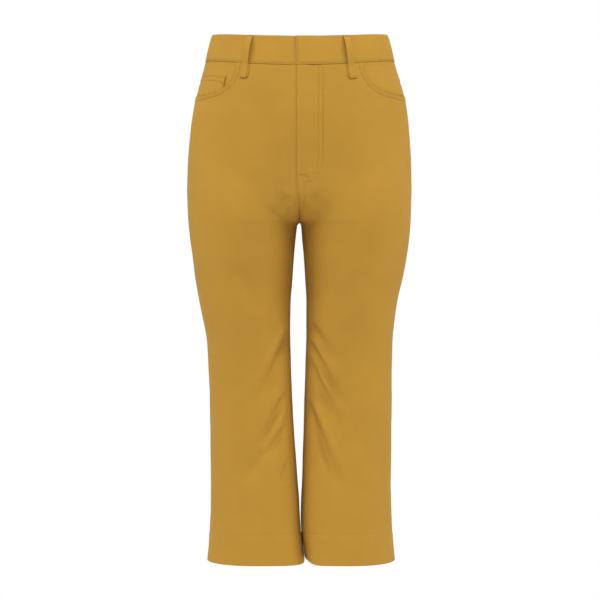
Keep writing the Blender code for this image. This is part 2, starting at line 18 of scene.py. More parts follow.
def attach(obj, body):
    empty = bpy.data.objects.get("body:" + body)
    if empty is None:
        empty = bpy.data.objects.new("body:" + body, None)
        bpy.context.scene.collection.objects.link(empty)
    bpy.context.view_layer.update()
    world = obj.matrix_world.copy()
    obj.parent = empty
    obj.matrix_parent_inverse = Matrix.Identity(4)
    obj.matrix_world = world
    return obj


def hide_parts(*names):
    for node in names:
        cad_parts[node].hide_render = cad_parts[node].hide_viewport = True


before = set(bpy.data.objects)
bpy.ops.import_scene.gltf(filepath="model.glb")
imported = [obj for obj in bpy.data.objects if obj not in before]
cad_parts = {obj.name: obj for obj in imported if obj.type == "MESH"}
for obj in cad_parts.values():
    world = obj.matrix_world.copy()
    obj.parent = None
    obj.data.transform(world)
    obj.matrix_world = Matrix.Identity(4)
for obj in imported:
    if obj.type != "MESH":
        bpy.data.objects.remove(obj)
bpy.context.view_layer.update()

bl_info = {
    "name": "Cropped Trousers",
    "version": (1, 0, 0),
    "blender": (4, 5, 0),
    "location": "3D View > Sidebar > Trousers",
    "description": "Sews the cloth of a pair of cropped trousers over their solids",
    "category": "Add Mesh",
}

METRES = 0.001  # in a millimetre
STEP = 1e-3  # of down or around, for slopes

# ---- the pattern's driving dimensions, in millimetres. down and around are shares, and are
# explained where the cloth's surface is made -----------------------------------------------------
CROTCH_Z = -261.0
HEM_Z = -767.0
WAIST_SEAM = (-19.5, 14.5, 4.0)  # height at the side, dip in front, rise at the back
WAIST_TOP = (19.7, 10.4, 6.0)

SEAM_GAP = 0.16
BAND_OUT = 0.8
BAND_IN = -1.0
HEM_DEPTH = 45.0
HEM_LAYERS_IN = -2.2
HEM_LIFT, HEM_LIFT_OUT, HEM_LIFT_WIDTH = 6.0, 8.0, 9.0  # of the left hem's inner corner

FRONT_CURVE, BACK_CURVE = (42.0, 108.0), (85.0, 118.0)  # height and reach of the crotch seam's turn
CURVE_SPREAD = 0.75  # of the way to the side seam, beyond which the crotch seam's curve isn't felt
THIGH_SHAPE_HEIGHT = 150.0
CROTCH_Y = 10.0

FLY_LAP = 3.2
BAND_LAP_TOP, BAND_LAP_BOTTOM = 5.4, 3.5
FLY_END_DOWN = 0.70
LAP_END_DOWN = 0.95
FELL_LAP, FELL_RAISE = 0.7, 0.45
FELL_START_DOWN = 0.53
RAISE_END_DOWN = 0.74
LAP_RAISE = 1.7
LAP_RAMP = 26.0
BAND_UNDERLAP = 14.0
BAND_OVER, BAND_UNDER = (17.0, 1.2), (1.0, -1.0)  # how far out each end keeps its step, and the step
BAND_LAP_RAMP = 18.0
BAND_SLANT = 16.0  # from the centre, over which the end's slant fades

POCKET_AROUND = 0.222
POCKET_DOWN = 0.221
POCKET_SQUARENESS = 2.75
FACING_OUT = -1.3
FACING_SINK = 1.7
FACING_MARGIN = 12.0
MOUTH_LIP = 0.55
COIN_EDGE_AROUND = 0.262
COIN_TOP_DOWN = 0.088
COIN_THICKNESS, COIN_CLEARANCE = 0.6, 0.12
COIN_GAPE = 0.9
COIN_UNDER_LIP = 3.0
SLIT_WIDTH, SLIT_DEPTH = 1.3, 2.6

YOKE_SIDE_DOWN = 0.13
YOKE_CENTRE_DOWN = 0.25

LOOP_THICKNESS = 1.5
LOOP_LENGTH = 58.0
LOOP_STAND_OFF = 3.7
LOOP_GAP = 0.5
LOOP_BOTTOM_DOWN = 0.082
LOOP_TOP_DOWN = -0.965
LOOP_TAIL_ASIDE = 2.4
LOOPS = (  # name, side of the body (-1 wearer's right), around at its top and at its bottom
    ("belt_loop_front_right", -1, 0.1818, 0.1855),
    ("belt_loop_front_left", 1, 0.1675, 0.1715),
    ("belt_loop_side_right", -1, 0.700, 0.700),
    ("belt_loop_side_left", 1, 0.700, 0.700),
    ("belt_loop_back", 1, 1.0, 1.0),
)

# ---- the form, in short tables -----------------------------------------------------------------
BODY_COLUMNS = ("height", "right_side", "left_side", "front", "back", "side_y")
BODY_ROWS = (
    (20, 130.8, 132.2, -88, 98, 6),
    (0, 136.2, 137.6, -93, 102, 6),
    (-20, 141.0, 142.2, -98, 107, 6),
    (-47, 148.5, 151.0, -104, 115, 6),
    (-77, 156.0, 158.8, -108, 122, 6),
    (-107, 161.3, 163.2, -110, 128, 6),
    (-137, 165.0, 165.6, -110, 133, 6),
    (-167, 167.3, 167.2, -109, 134, 6),
    (-212, 168.3, 167.9, -107, 129, 7),
    (-237, 167.7, 167.4, -104, 123, 7),
    (-261, 166.5, 166.4, -101, 114, 8),
    (-287, 163.8, 164.3, -98, 103, 7),
    (-317, 159.8, 160.2, -94, 94, 6),
    (-347, 155.7, 153.8, -89, 87, 5),
    (-377, 150.2, 146.8, -85, 81, 4),
    (-407, 144.2, 142.4, -81, 76, 2),
    (-437, 138.9, 139.7, -77, 73, 1),
    (-482, 136.0, 138.2, -74, 71, 0),
    (-527, 134.3, 137.9, -73, 71, 0),
    (-587, 133.6, 137.6, -74, 74, 1),
    (-647, 132.8, 136.8, -76, 77, 3),
    (-677, 132.9, 137.3, -78, 79, 4),
    (-737, 135.6, 140.3, -81, 83, 6),
    (-767, 138.6, 142.9, -83, 86, 7),
)
INSIDE_LEG_COLUMNS = ("height", "right_edge", "left_edge", "right_y", "left_y")
INSIDE_LEG_ROWS = (
    (-261, 0.15, 0.15, 10, 10),
    (-264, 3.0, 2.0, 10, 10),
    (-272, 4.4, 3.0, 9, 9),
    (-287, 5.9, 3.9, 8, 8),
    (-317, 8.4, 6.8, 5, 6),
    (-347, 10.8, 8.7, 3, 5),
    (-377, 13.0, 10.2, 1, 4),
    (-422, 13.8, 10.4, 0, 3),
    (-482, 12.3, 8.6, -2, 4),
    (-527, 10.8, 7.4, -3, 5),
    (-587, 7.0, 5.6, -4, 6),
    (-647, 2.8, 3.8, -4, 6),
    (-677, 0.5, 2.5, -4, 6),
    (-707, -1.2, 1.6, -4, 6),
    (-737, -4.2, 4.4, -3, 5),
    (-767, -7.6, 7.8, -2, 4),
)
QUARTER_COLUMNS = ("height", "right_inner_front", "left_inner_front")
QUARTER_ROWS = (
    (-261, 2.5, 2.5),
    (-300, 2.3, 2.3),
    (-360, 2.3, 2.3),
    (-420, 2.9, 3.0),
    (-520, 3.5, 3.6),
    (-767, 3.7, 3.8),
)
INSEAM_COLUMNS = ("height", "forward_degrees")
INSEAM_ROWS = ((-261, 0), (-300, 10), (-377, 22), (-480, 28), (-767, 28))

# Soft troughs (depth below zero) and ridges (above). FOLD_ROWS are the solids' own folds, and
# CREASE_ROWS are the cloth's. The gain makes both as deep as they look in the cloth.
CREASE_GAIN = 2.5
FOLD_COLUMNS = ("side", "face", "from_x", "from_z", "to_x", "to_z", "width", "depth")
FOLD_ROWS = (
    (1, "front", 17, -414, 52, -476, 9.0, -2.2),
    (1, "front", 19, -432, 45, -482, 5.5, 0.9),
    (1, "front", 15, -440, 68, -538, 5.5, -2.4),
    (1, "front", 26, -480, 50, -522, 5.0, 1.1),
    (1, "front", 17, -471, 60, -570, 7.0, -2.3),
    (1, "front", 22, -528, 60, -634, 7.0, 2.0),
    (1, "front", 15, -533, 60, -656, 7.5, -3.2),
    (-1, "front", -24, -415, -64, -520, 7.0, 1.6),
    (-1, "front", -18, -438, -60, -530, 10.0, -2.6),
    (-1, "front", -22, -520, -64, -602, 6.5, -2.5),
    (-1, "front", -23, -541, -48, -592, 5.5, 1.3),
    (-1, "front", -20, -564, -49, -610, 5.0, -1.6),
    (-1, "front", -54, -598, -78, -648, 9.0, -1.5),
    (-1, "front", -17, -616, -28, -654, 6.0, -1.2),
    (1, "back", 22, -300, 80, -330, 10.0, -2.2),
    (1, "back", 20, -330, 72, -372, 9.0, -1.8),
    (-1, "back", -20, -306, -84, -334, 10.0, -2.2),
    (-1, "back", -18, -338, -70, -380, 9.0, -1.8),
    (1, "back", 120, -430, 66, -500, 11.0, -2.0),
    (-1, "back", -118, -438, -64, -512, 11.0, -2.0),
    (1, "back", 118, -500, 60, -566, 10.0, -1.6),
    (-1, "back", -116, -514, -58, -580, 10.0, -1.6),
)
CREASE_ROWS = (
    (-1, "front", -12, -226, -46, -262, 9.0, -0.7),
    (1, "front", 14, -224, 50, -256, 9.0, -0.7),
    (-1, "front", -8, -222, -37, -174, 4.0, -0.62),
    (-1, "front", -14, -228, -42, -184, 3.5, 0.45),
    (-1, "front", -20, -236, -46, -194, 4.5, -0.62),
    (-1, "front", -14, -252, -40, -212, 4.5, -0.70),
    (-1, "front", -26, -256, -50, -226, 5.0, 0.40),
    (1, "front", 12, -250, 34, -212, 5.0, -0.45),
    (-1, "front", -96, -330, -52, -396, 13.0, -0.6),
    (1, "front", 100, -336, 58, -402, 13.0, -0.6),
    (-1, "front", -110, -660, -64, -590, 14.0, -0.6),
    (1, "front", 116, -640, 84, -560, 14.0, -0.6),
    (-1, "back", -30, -70, -84, -96, 12.0, -0.7),
    (1, "back", 34, -76, 90, -98, 12.0, -0.7),
    (-1, "back", -22, -262, -66, -296, 7.0, -1.0),
    (1, "back", 20, -258, 62, -288, 7.0, -1.0),
    (-1, "back", -26, -372, -60, -420, 8.0, -0.9),
    (1, "back", 26, -366, 66, -412, 8.0, -0.9),
    (-1, "back", -30, -452, -84, -486, 7.0, -1.1),
    (1, "back", 28, -446, 80, -484, 7.0, -1.1),
    (-1, "back", -104, -560, -70, -640, 12.0, -0.8),
    (1, "back", 106, -566, 72, -650, 12.0, -0.8),
)


# ---- what a user would change ------------------------------------------------------------------
def colour(name, description, default):
    return bpy.props.FloatVectorProperty(
        name=name, description=description, subtype="COLOR", size=3, min=0, max=1, default=default
    )


def number(name, description, default, unit="LENGTH", **limits):
    return bpy.props.FloatProperty(
        name=name, description=description, unit=unit, default=default, **limits
    )


class TrouserLooks(bpy.types.PropertyGroup):
    """Sizes and colours of the cloth and its sewing."""

    cloth_colour: colour(
        "Cloth Colour", "Colour of the gabardine, before its weave varies it", (0.515, 0.273, 0.0345)
    )
    thread_colour: colour(
        "Thread Colour", "Colour of the sewing thread, a shade lighter than the cloth", (0.70, 0.42, 0.070)
    )
    cloth_thickness: number(
        "Cloth Thickness", "One layer of the cloth", 0.0010, min=0.0004, max=0.0012
    )
    grid_spacing: number(
        "Grid Spacing", "Size of the cloth's faces away from its edges", 0.0031, min=0.002, max=0.02
    )
    unevenness: number(
        "Unevenness",
        "How far the cloth wanders from its pattern between the creases",
        0.0005,
        min=0.0,
        max=0.002,
    )
    pucker: number("Pucker", "Height of the small waves beside a seam", 0.00015, min=0.0, max=0.001)
    stitch_pitch: number("Stitch Pitch", "From one stitch to the next", 0.0037, min=0.002, max=0.006)
    thread_width: number(
        "Thread Width", "Thickness of the topstitching thread", 0.00072, min=0.0002, max=0.001
    )
    twill_pitch: number(
        "Twill Pitch", "From one diagonal rib of the weave to the next", 0.0009, min=0.0004, max=0.003
    )
    loop_width: number(
        "Belt Loop Width", "Width of the finished belt loops", 0.0102, min=0.008, max=0.02
    )


class StudioLooks(bpy.types.PropertyGroup):
    """The floor, the light and the camera."""

    floor_drop: number("Floor Drop", "How far the floor lies below the hems", 0.28, min=0.0)
    camera_distance: number(
        "Camera Distance", "From the camera to the middle of the garment", 3.5, min=1.0
    )
    side_light: number(
        "Side Light", "Power of each of the two large lamps at the sides", 31.0, "POWER", min=0.0
    )
    front_light: number(
        "Front Light", "Power of the large lamp above the camera", 42.0, "POWER", min=0.0
    )
    fill_light: number(
        "Fill Light",
        "Brightness of the room that fills the shadows, next to a white backdrop of 1",
        0.52,
        "NONE",
        min=0.0,
    )


# ---- tables and curves -------------------------------------------------------------------------
def column(columns, rows, name):
    """One named column of a table, as an array."""
    return np.array([row[columns.index(name)] for row in rows], float)


def smooth_table(columns, rows, name):
    """A function of height that runs through a column without overshooting it."""
    height = column(columns, rows, "height")[::-1]
    value = column(columns, rows, name)[::-1]
    step = np.diff(height)
    slope = np.diff(value) / step
    tangent = np.zeros(len(value))
    tangent[0], tangent[-1] = slope[0], slope[-1]
    for i in range(1, len(value) - 1):
        if slope[i - 1] * slope[i] > 0:
            before, after = 2 * step[i] + step[i - 1], step[i] + 2 * step[i - 1]
            tangent[i] = (before + after) / (before / slope[i - 1] + after / slope[i])

    def read(z):
        z = np.clip(z, height[0], height[-1])
        i = np.clip(np.searchsorted(height, z) - 1, 0, len(step) - 1)
        s = (z - height[i]) / step[i]
        return (
            (2 * s**3 - 3 * s**2 + 1) * value[i]
            + (s**3 - 2 * s**2 + s) * step[i] * tangent[i]
            + (3 * s**2 - 2 * s**3) * value[i + 1]
            + (s**3 - s**2) * step[i] * tangent[i + 1]
        )

    return read


FORM = {
    name: smooth_table(columns, rows, name)
    for columns, rows in (
        (BODY_COLUMNS, BODY_ROWS),
        (INSIDE_LEG_COLUMNS, INSIDE_LEG_ROWS),
        (QUARTER_COLUMNS, QUARTER_ROWS),
        (INSEAM_COLUMNS, INSEAM_ROWS),
    )
    for name in columns[1:]
}


def side_form(side, name, z):
    """A column of the form that the wearer's right and left each have."""
    return FORM[("right_" if side < 0 else "left_") + name](z)


def piece_name(piece, side):
    return piece + ("_right" if side < 0 else "_left")


def ease(x):
    """0 below 0, 1 above 1, and a smooth step between them."""
    x = np.clip(x, 0.0, 1.0)
    return x * x * (3 - 2 * x)


def mix(a, b, share):
    return a + (b - a) * share


def bell(distance, width):
    """1 at no distance, falling softly to nothing over about twice the width."""
    return np.exp(-((distance / width) ** 2))


def walked(points, axis):
    """Distance walked along one axis of a grid of points, from its start."""
    steps = np.linalg.norm(np.diff(points, axis=axis), axis=-1)
    start = np.zeros_like(np.take(steps, [0], axis=axis))
    return np.concatenate([start, np.cumsum(steps, axis=axis)], axis=axis)


def read_along(at, length, line):
    """Points of a line at distances along it, where length is the distance of each of its own."""
    return np.stack([np.interp(at, length, line[:, k]) for k in range(3)], -1)


# ---- the cloth's surface: down is -1 at the band's top, 0 at the waist seam, 1 at the crotch and
# 2 at the hem; around is 0 at the centre front or inseam, 0.5 at the side and 1 at the back --------
def waist_z(line, around):
    """Height of a line round the waist, from its height at the side, front dip and back rise."""
    side_z, front_dip, back_rise = line
    front = np.cos(math.pi * np.minimum(around, 0.5)) ** 2
    back = np.cos(math.pi * np.maximum(around, 0.5)) ** 2
    return side_z - front_dip * front + back_rise * back


def crotch_seam(down, top_z, curve_height, reach):
    """Height, and share turned under, of the crotch seam: straight, then a quarter ellipse."""
    straight = top_z - (CROTCH_Z + curve_height)
    curved = math.pi / 2 * np.sqrt((curve_height**2 + reach**2) / 2)
    along = down * (straight + curved)
    turn = math.pi / 2 * (1 - np.clip((along - straight) / curved, 0, 1))
    z = np.where(along < straight, top_z - along, CROTCH_Z + curve_height * (1 - np.cos(turn)))
    return z, 1 - np.sin(turn)


def quarter(share, squareness):
    """cos and sin of a quarter turn, squared off."""
    c = np.clip(np.cos(math.pi / 2 * share), 0, 1) ** (2 / squareness)
    s = np.clip(np.sin(math.pi / 2 * share), 0, 1) ** (2 / squareness)
    return c, s


def leg_ring(side, z, turn):
    """Distance from the middle and y on a leg's ring: turn runs inner edge, front, outside, back."""
    inner = np.where(z < CROTCH_Z, side_form(side, "edge", z), SEAM_GAP / 2)
    inner_y = np.where(z < CROTCH_Z, side_form(side, "y", z), CROTCH_Y)
    outer = side_form(side, "side", z)
    outer_y, front, back = FORM["side_y"](z), FORM["front"](z), FORM["back"](z)
    middle = (inner + outer) / 2
    turn = np.mod(turn, 4)
    which = np.floor(turn)
    share = turn - which
    squareness = np.where(which == 0, side_form(side, "inner_front", z), 2.0)
    share = np.where((which == 1) | (which == 3), 1 - share, share)
    c, s = quarter(share, squareness)
    inside = (which == 0) | (which == 3)
    out = np.where(inside, middle - (middle - inner) * c, middle + (outer - middle) * c)
    start_y = np.where(inside, inner_y, outer_y)
    apex_y = np.where((which == 0) | (which == 1), front, back)
    return out, start_y + (apex_y - start_y) * s


def body_half_ring(side, z, around):
    """Distance from the middle and y on half of the body's ring, above the crotch."""
    outer = side_form(side, "side", z)
    side_y = FORM["side_y"](z)
    half_turn = math.pi * around
    out = SEAM_GAP / 2 + (outer - SEAM_GAP / 2) * np.sin(half_turn)
    apex_y = np.where(around < 0.5, FORM["front"](z), FORM["back"](z))
    return out, side_y + (apex_y - side_y) * np.abs(np.cos(half_turn))


def body_ring_y(side, z, out, is_front):
    """y on the body's ring, at a distance from the middle."""
    outer = side_form(side, "side", z)
    share = np.clip((out - SEAM_GAP / 2) / (outer - SEAM_GAP / 2), 0, 1)
    side_y = FORM["side_y"](z)
    apex_y = np.where(is_front, FORM["front"](z), FORM["back"](z))
    return side_y + (apex_y - side_y) * np.sqrt(1 - share**2)


def thigh_ring_y(side, z, out, is_front):
    """y on the ring of a leg's top, at a distance from the middle."""
    outer = side_form(side, "side", z)
    middle = (SEAM_GAP / 2 + outer) / 2
    inside = out < middle
    c = np.clip(np.abs(out - middle) / (middle - SEAM_GAP / 2), 0, 1)
    squareness = np.where(inside & is_front, side_form(side, "inner_front", z), 2.0)
    start_y = np.where(inside, CROTCH_Y, FORM["side_y"](z))
    apex_y = np.where(is_front, FORM["front"](z), FORM["back"](z))
    return start_y + (apex_y - start_y) * (1 - c**squareness) ** (1 / squareness)


def surface(side, down, around):
    """Points of the cloth's outer surface, in millimetres."""
    down, around = np.broadcast_arrays(np.asarray(down, float), np.asarray(around, float))
    mirrored = np.where(around < 0, -1.0, np.where(around > 1, -1.0, 1.0))
    around = np.where(around < 0, -around, np.where(around > 1, 2 - around, around))
    is_front = around < 0.5
    from_seam = np.where(is_front, 2 * around, 2 - 2 * around)
    upper = np.clip(down, 0, 1)
    top_z = waist_z(WAIST_SEAM, around)
    front_seam_z, front_under = crotch_seam(upper, waist_z(WAIST_SEAM, 0.0), *FRONT_CURVE)
    back_seam_z, back_under = crotch_seam(upper, waist_z(WAIST_SEAM, 1.0), *BACK_CURVE)
    seam_z = np.where(is_front, front_seam_z, back_seam_z)
    seam_under = np.where(is_front, front_under, back_under)
    side_z = mix(top_z, CROTCH_Z, upper)
    away = ease(from_seam / CURVE_SPREAD)
    start_dip = waist_z(WAIST_SEAM, np.where(is_front, 0.0, 1.0))
    z = mix(seam_z + (top_z - start_dip) * (1 - upper), side_z, away)
    z = np.where(down < 0, mix(top_z, waist_z(WAIST_TOP, around), -down), z)
    z = np.where(down > 1, mix(CROTCH_Z, HEM_Z, down - 1), z)
    side_under = ease(1 - (side_z - CROTCH_Z) / THIGH_SHAPE_HEIGHT)
    under = np.where(down >= 1, 1.0, np.where(down <= 0, 0.0, mix(seam_under, side_under, away)))

    body_out, body_y = body_half_ring(side, z, around)
    forward = FORM["forward_degrees"](np.minimum(z, CROTCH_Z)) / 90
    turn = np.where(is_front, mix(forward, 2.0, from_seam), mix(4 + forward, 2.0, from_seam))
    leg_out, leg_y = leg_ring(side, z, turn)
    out = mix(body_out, leg_out, under)
    blend_y = mix(body_ring_y(side, z, out, is_front), thigh_ring_y(side, z, out, is_front), under)
    y = np.where(under <= 0, body_y, np.where(under >= 1, leg_y, blend_y))
    if side > 0:
        corner = bell(out - HEM_LIFT_OUT, HEM_LIFT_WIDTH) * (y < 60)
        z = z + HEM_LIFT * ease((down - 1.9) / 0.1) * corner
    return np.stack([side * mirrored * out, y, z], -1)


def surface_around(side, down, around):
    """surface(), but below the crotch it runs on round the leg past the inseam."""
    down, around = np.broadcast_arrays(np.asarray(down, float), np.asarray(around, float))
    return surface(side, down, np.where(down > 1, np.mod(around, 1.0), around))


def outward(side, down, around):
    """The surface's unit normals, out of the garment."""
    down = np.clip(down, -1 + STEP, 2 - STEP)
    along = surface(side, down + STEP, around) - surface(side, down - STEP, around)
    low = np.where(np.asarray(down) > 1, around - STEP, np.maximum(around - STEP, 0.0))
    high = np.where(np.asarray(down) > 1, around + STEP, np.minimum(around + STEP, 1.0))
    low = np.where(np.asarray(around) < 0, around - STEP, low)
    high = np.where(np.asarray(around) > 1, around + STEP, high)
    across = surface_around(side, down, high) - surface_around(side, down, low)
    normal = side * np.cross(along, across)
    return normal / np.maximum(np.linalg.norm(normal, axis=-1, keepdims=True), 1e-12)


def relief(points, normals, side):
    """How far the folds and creases move the cloth out, at points of one side of the body."""
    height = np.zeros(points.shape[:-1])
    for fold in FOLD_ROWS + CREASE_ROWS:
        row = dict(zip(FOLD_COLUMNS, fold))
        if row["side"] != side:
            continue
        facing = -normals[..., 1] if row["face"] == "front" else normals[..., 1]
        start = np.array([row["from_x"], row["from_z"]])
        run = np.array([row["to_x"], row["to_z"]]) - start
        length = np.linalg.norm(run)
        offset = points[..., [0, 2]] - start
        along = offset @ run / length**2
        across = (offset[..., 0] * run[1] - offset[..., 1] * run[0]) / length
        width = row["width"] * (0.7 + 0.6 * np.clip(along, 0, 1))
        strength = ease((along + 0.12) / 0.3) * ease((1.1 - along) / 0.55)
        height += row["depth"] * strength * np.exp(-((across / width) ** 2)) * ease(facing / 0.35)
    return CREASE_GAIN * height


COARSE_WAVE, FINE_WAVE = 46.0, 17.0
FINE_SHARE, FINE_START = 0.35, 31.0


def wander(points, amount):
    """Soft unevenness of the cloth, the same wherever two pieces meet."""
    flat = points.reshape(-1, 3)
    coarse = np.array([noise.noise(Vector(p / COARSE_WAVE)) for p in flat])
    fine = np.array([noise.noise(Vector(p / FINE_WAVE + FINE_START)) for p in flat])
    return amount * (coarse + FINE_SHARE * fine).reshape(points.shape[:-1])


def cloth_points(side, down, around, out, amount, under=0.0):
    """Points on the creased cloth, so many millimetres out, and from there so many under its face."""
    base = surface(side, down, around)
    normal = outward(side, down, around)
    height = relief(base, normal, side) + wander(base, amount) + out
    moved = normal * height[..., None]
    # At the crotch the two sides meet face to face, and nothing there parts them.
    moved[..., 0] *= 1 - bell(base[..., 0], 6.0) * ease((1.06 - down) / 0.06)
    return base + moved - normal * np.broadcast_to(under, height.shape)[..., None]


def millimetres_per_around(side, down, around):
    """How many millimetres of cloth one unit of around spans there."""
    inward = np.where(np.asarray(around) > 0.5, around - STEP, around + STEP)
    reach = surface(side, down, inward) - surface(side, down, around)
    return np.linalg.norm(reach, axis=-1) / STEP


def millimetres_per_down(side, down, around):
    reach = surface(side, np.asarray(down) + STEP, around) - surface(side, down, around)
    return np.linalg.norm(reach, axis=-1) / STEP


# ---- lines on the cloth ------------------------------------------------------------------------
def steepness(side, down, around):
    """How the surface's point moves with down and with around."""
    at = surface(side, down, around)
    by_down = (surface(side, down + STEP, around) - at) / STEP
    by_around = (surface(side, down, around + STEP) - at) / STEP
    return at, by_down, by_around


def place(side, x, z, near=(0.5, 0.08)):
    """down and around of the points of the front that lie at x and z, searched for from near."""
    down, around = np.full(np.shape(x), near[0]), np.full(np.shape(x), near[1])
    for _ in range(25):
        at, by_down, by_around = steepness(side, down, around)
        miss_x, miss_z = x - at[..., 0], z - at[..., 2]
        turn = by_down[..., 0] * by_around[..., 2] - by_around[..., 0] * by_down[..., 2]
        down = down + (miss_x * by_around[..., 2] - miss_z * by_around[..., 0]) / turn
        around = around + (by_down[..., 0] * miss_z - by_down[..., 2] * miss_x) / turn
    return down, around


def beside(side, down, around, distance):
    """The line that runs so many millimetres beside another one, on the cloth."""
    points, by_down, by_around = steepness(side, down, around)
    tangent = np.gradient(points, axis=0)
    tangent /= np.linalg.norm(tangent, axis=-1, keepdims=True)
    across = side * distance * np.cross(tangent, outward(side, down, around))
    dd, da, aa = (by_down**2).sum(-1), (by_down * by_around).sum(-1), (by_around**2).sum(-1)
    p, q = (by_down * across).sum(-1), (by_around * across).sum(-1)
    turn = dd * aa - da**2
    return down + (aa * p - da * q) / turn, around + (dd * q - da * p) / turn


def pocket_mouth(turn):
    """down and around along the pocket mouth: turn is 0 at the waist seam and 1 at the side seam."""
    c, s = quarter(turn, POCKET_SQUARENESS)
    return POCKET_DOWN * s, mix(POCKET_AROUND, 0.5, 1 - c)


def mouth_down_at(around):
    """How far down the pocket mouth lies at each around."""
    c = 1 - (np.asarray(around) - POCKET_AROUND) / (0.5 - POCKET_AROUND)
    return POCKET_DOWN * (1 - np.clip(c, 0, 1) ** POCKET_SQUARENESS) ** (1 / POCKET_SQUARENESS)


def yoke_seam_down(around):
    return mix(YOKE_SIDE_DOWN, YOKE_CENTRE_DOWN, (around - 0.5) * 2)


ROW_NEAR, ROW_FAR = 1.7, 7.6  # the two needles' rows, from the seam or edge
FLY_ROWS = (  # out_x where it runs down, turn_z, end_x, end_z
    (34.2, -168.0, 11.0, -205.0),
    (27.8, -172.0, 10.5, -199.0),
)
FLY_ROWS_TOP_Z = -35.5
FLY_CURVE_DOWN = (0.40, 0.58)
FELL_ROWS_X, FELL_ROWS_Z = (-1.2, 6.2), (-201.0, -245.0)
LEG_ROWS_DOWN, YOKE_ROWS_AROUND = (1.012, 1.999), (0.505, 0.998)
BAND_ROW_UP, BAND_ROW_IN = 2.1, 2.2  # the band's row, from its seam and from its end
COIN_ROWS = (1.6, 7.8)  # from the coin pocket's top


def fly_rows():
    """The curved double row that closes the fly, straight down and then round to its edge."""
    lines = []
    for out_x, turn_z, end_x, end_z in FLY_ROWS:
        turn = np.linspace(0, math.pi / 2, 40)
        straight = np.linspace(FLY_ROWS_TOP_Z, turn_z, 50)[:-1]
        z = np.concatenate([straight, turn_z + (end_z - turn_z) * np.sin(turn)])
        x = np.concatenate([np.full(49, out_x), end_x + (out_x - end_x) * np.cos(turn)])
        lines.append(place(1, x, z))
    return lines


def fell_rows():
    """The double row down the felled seam, from the fly's end towards the crotch."""
    z = np.linspace(*FELL_ROWS_Z, 50)
    return [place(1, np.full(50, x), z, (0.55, x * 1e-3)) for x in FELL_ROWS_X]


def mouth_rows(side):
    """The double row round a pocket mouth."""
    turn = np.linspace(0.0, 1.0, 90)
    lines = []
    for distance in (ROW_NEAR, ROW_FAR):
        down, around = beside(side, *pocket_mouth(turn * 0.985 + 0.004), distance)
        kept = (down > 0.008) & (around < 0.4965)
        lines.append((down[kept], around[kept]))
    return lines


def seam_rows(side, down, at_back, reach=(ROW_NEAR, ROW_FAR)):
    """A double row beside the centre seam or the inseam."""
    edge = 1.0 if at_back else 0.0
    inset = np.array(reach)[:, None] / millimetres_per_around(side, down, edge)
    return [(down, np.abs(edge - line)) for line in inset]


def sewn_rows(name):
    """The rows of topstitching on one piece, as lines of down and around."""
    side = -1 if name.endswith("right") else 1
    leg = np.linspace(*LEG_ROWS_DOWN, 160)
    if name.startswith("front"):
        lines = mouth_rows(side) + seam_rows(side, leg, False)
        if side > 0:
            lines += fly_rows() + fell_rows()
        return lines
    if name == "back_left":
        return seam_rows(1, np.linspace(YOKE_CENTRE_DOWN + 0.01, 0.985, 80), True)
    if name.startswith("yoke"):
        around = np.linspace(*YOKE_ROWS_AROUND, 90)
        per_down = millimetres_per_down(side, 0.1, around)
        lines = [(yoke_seam_down(around) - d / per_down, around) for d in (ROW_NEAR, ROW_FAR)]
        if side > 0:
            lines += seam_rows(1, np.linspace(0.012, YOKE_CENTRE_DOWN - 0.035, 20), True)
        return lines
    if name.startswith("waistband"):
        per_around = float(millimetres_per_around(side, -0.5, 0.0))
        start = (FLY_LAP + 1.5 if side < 0 else BAND_ROW_IN - BAND_LAP_BOTTOM) / per_around
        around = np.linspace(start, 1.0, 200)
        low = -BAND_ROW_UP / float(millimetres_per_down(side, -0.5, 0.25))
        lines = [(np.full_like(around, low), around)]
        if side > 0:
            down = np.linspace(-0.955, low, 24)
            ends = BAND_ROW_IN - BAND_LAP_BOTTOM, BAND_ROW_IN - BAND_LAP_TOP
            lines.append((down, mix(*ends, -down) / per_around))
        return lines
    if name == "coin_pocket":
        around = np.linspace(COIN_EDGE_AROUND + 0.006, 0.495, 40)
        per_down = float(millimetres_per_down(-1, 0.1, 0.4))
        return [(np.full_like(around, COIN_TOP_DOWN + d / per_down), around) for d in COIN_ROWS]
    return []


# ---- from grids to cloth -----------------------------------------------------------------------
FRONT_RISE = 230.0  # millimetres of cloth from the waist seam to the crotch, for spacing rows
BACK_RISE = 215.0  # and from the yoke to the crotch
GROOVE_DEPTH, GROOVE_WIDTH = 0.55, 0.95  # under a row of stitches
PUCKER_REACH, PUCKER_TURN = 6.5, 0.66  # beside it, in millimetres and radians a millimetre
PUCKER_DRIFT, DRIFT_TURN = 1.3, 0.11  # how far and how slowly the waves drift
FAR_AWAY = 99.0
MOUTH_TURNS = np.concatenate([[0, 0.004, 0.01, 0.02], np.linspace(0.035, 1, 40)])
BACK_FIRST_SHARES = np.array([0, 0.0013, 0.003, 0.006, 0.010])
YOKE_SHARES = np.concatenate([[0, 0.006, 0.016, 0.03], np.linspace(0.06, 0.80, 12), np.linspace(0.83, 1, 10)])
TURNED_STEPS = np.array([-2.4, -1.2, -0.4, 0.4, 1.2, 2.4, 4.5])  # across the hem's turned-up edge
SEAM_RAMP = 0.02  # of down, over which a felled seam begins or ends
RIDGE_AT, RIDGE_WIDTH = 4.6, 3.0  # a felled seam stands up between its two rows
HEM_ROLL = 1.1
THIN_WALL = 0.15  # the least that a groove leaves of the cloth
FLY_TURN_STEPS = np.arange(10.8, 29.0, 1.3)
FLY_ROW_STEPS = np.arange(29.6, 39.6, 0.85)
EDGE_STEPS = np.array([0.0, 0.25, 0.6, 1.1, 1.8])
ROW_STEPS = np.array([0.0, 0.25, 0.6, 1.1, 1.7, 2.3, 3.2, 4.4, 5.6, 6.6, 7.2, 7.7, 8.3, 9.4])


